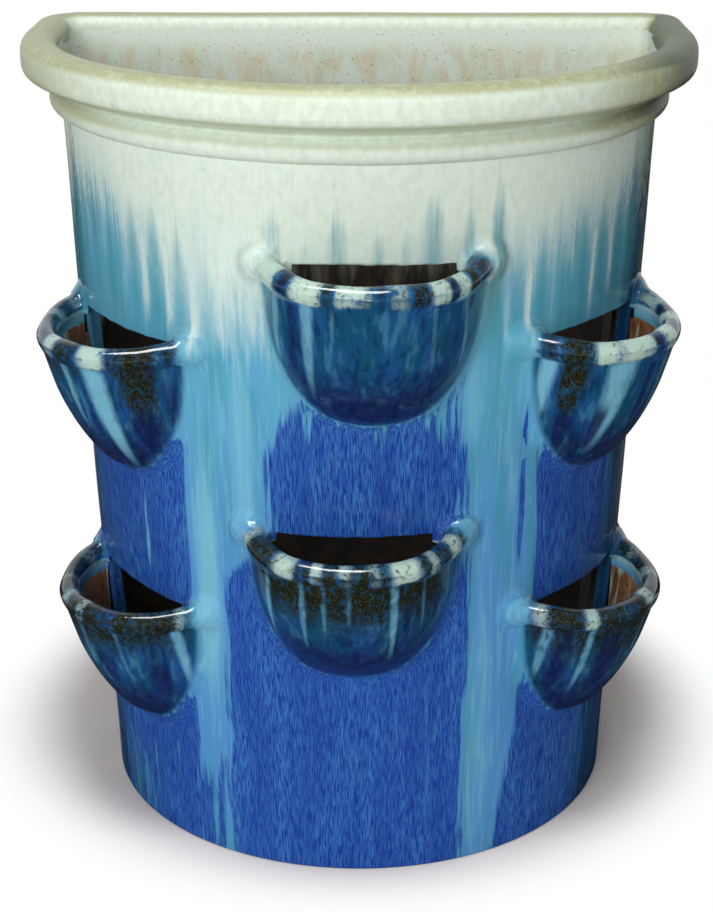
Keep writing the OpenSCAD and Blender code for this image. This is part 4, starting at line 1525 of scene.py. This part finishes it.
def satin_glaze():
    """The cream glaze of the mouth, which came out of the kiln with little shine."""
    name = "satin_cream_glaze_on_stoneware"
    return surface(name, lambda colours: running_glaze(colours, name, 0.14))


def clay():
    """The bare clay of the inside."""
    return surface("bare_fired_stoneware", fired_clay)


class BuildFrontWall(bpy.types.Operator):
    """Build the glazed front wall with its six openings, and its bare inside"""

    bl_idname = "planter.build_front_wall"
    bl_label = "Front wall"

    def execute(self, context):
        sizes, _ = settings()
        make_piece("wall_outside", ["front_wall"], "running_glaze", glaze(), *build_wall_outside(sizes))
        make_piece("wall_inside", ["front_wall"], "bare_clay", clay(), *build_wall_inside(sizes))
        return {"FINISHED"}


class BuildBackWall(bpy.types.Operator):
    """Build the flat back with its rounded upright edges"""

    bl_idname = "planter.build_back_wall"
    bl_label = "Back wall"

    def execute(self, context):
        sizes, _ = settings()
        material = surface("thin_brushed_glaze_on_stoneware", thin_glaze)
        make_piece("back_slab", ["back_wall"], "back_glaze", material, *build_back(sizes))
        make_piece("back_inside", ["back_wall"], "bare_clay", clay(), *build_back_inside())
        return {"FINISHED"}


class BuildMouth(bpy.types.Operator):
    """Build the bead, the neck and the heavy rim"""

    bl_idname = "planter.build_mouth"
    bl_label = "Mouth"

    def execute(self, context):
        sizes, _ = settings()
        outside = build_bead_and_neck(sizes)
        make_piece("bead_and_neck", ["bead", "neck"], "cream_glaze", satin_glaze(), *outside)
        make_piece("neck_inside", ["neck"], "cream_glaze", clay(), *build_neck_inside(sizes))
        make_piece("rolled_rim", ["rim"], "cream_glaze", satin_glaze(), *build_rim(sizes))
        return {"FINISHED"}


class BuildPockets(bpy.types.Operator):
    """Build the six pockets: each a bowl luted to the wall, with a coiled lip and two lugs"""

    bl_idname = "planter.build_pockets"
    bl_label = "Pockets"

    def execute(self, context):
        for name in POCKETS:
            bowl = skin_piece(name, [bowl_outside(name), bowl_inside(name)])
            make_piece("pocket_bowl_" + name, ["bowl_" + name], "bowl_glaze", glaze(), *bowl)
            lip = skin_piece(name, [lip_coil(name), lip_lug(name, -1.0), lip_lug(name, 1.0)])
            make_piece("pocket_lip_" + name, ["lip_" + name], "lip_glaze", glaze(), *lip)
        return {"FINISHED"}


class DressFloorSlab(bpy.types.Operator):
    """Give the floor slab inside the pot its bare clay"""

    bl_idname = "planter.dress_floor_slab"
    bl_label = "Floor slab"

    def execute(self, context):
        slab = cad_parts["floor_slab"]
        slab.data.materials.clear()
        slab.data.materials.append(clay())
        return {"FINISHED"}


class BuildStudio(bpy.types.Operator):
    """Set up the camera, the soft lights, the pale surroundings and the floor"""

    bl_idname = "planter.build_studio"
    bl_label = "Studio"

    def execute(self, context):
        studio_camera()
        studio_world()
        studio_floor()
        studio_cloth()
        for name, lamp in LAMPS.items():
            light_panel(name, *lamp)
        return {"FINISHED"}


OPERATORS = (BuildStudio, BuildFrontWall, BuildBackWall, BuildMouth, BuildPockets, DressFloorSlab)


class PlanterPanel(bpy.types.Panel):
    """Lists the planter's steps, sizes and glazes"""

    bl_idname = "VIEW3D_PT_planter"
    bl_label = "Half-round pocket planter"
    bl_space_type = "VIEW_3D"
    bl_region_type = "UI"
    bl_category = "Planter"

    def draw(self, context):
        for step in OPERATORS:
            self.layout.operator(step.bl_idname)
        for group in (context.scene.planter_sizes, context.scene.planter_glazes):
            for key in group.bl_rna.properties.keys():
                if key not in ("rna_type", "name"):
                    self.layout.prop(group, key)


CLASSES = (PlanterSizes, PlanterGlazes, *OPERATORS, PlanterPanel)


def register():
    """Makes the settings, the operators and the panel known to Blender."""
    for item in CLASSES:
        bpy.utils.register_class(item)
    bpy.types.Scene.planter_sizes = bpy.props.PointerProperty(type=PlanterSizes)
    bpy.types.Scene.planter_glazes = bpy.props.PointerProperty(type=PlanterGlazes)


def unregister():
    """Takes them away again."""
    del bpy.types.Scene.planter_sizes
    del bpy.types.Scene.planter_glazes
    for item in reversed(CLASSES):
        bpy.utils.unregister_class(item)


def main():
    """Builds the planter and its studio."""
    register()
    bpy.context.scene.view_settings.view_transform = "Standard"
    for step in OPERATORS:
        group, name = step.bl_idname.split(".")
        getattr(getattr(bpy.ops, group), name)()


if __name__ == "__main__":
    main()
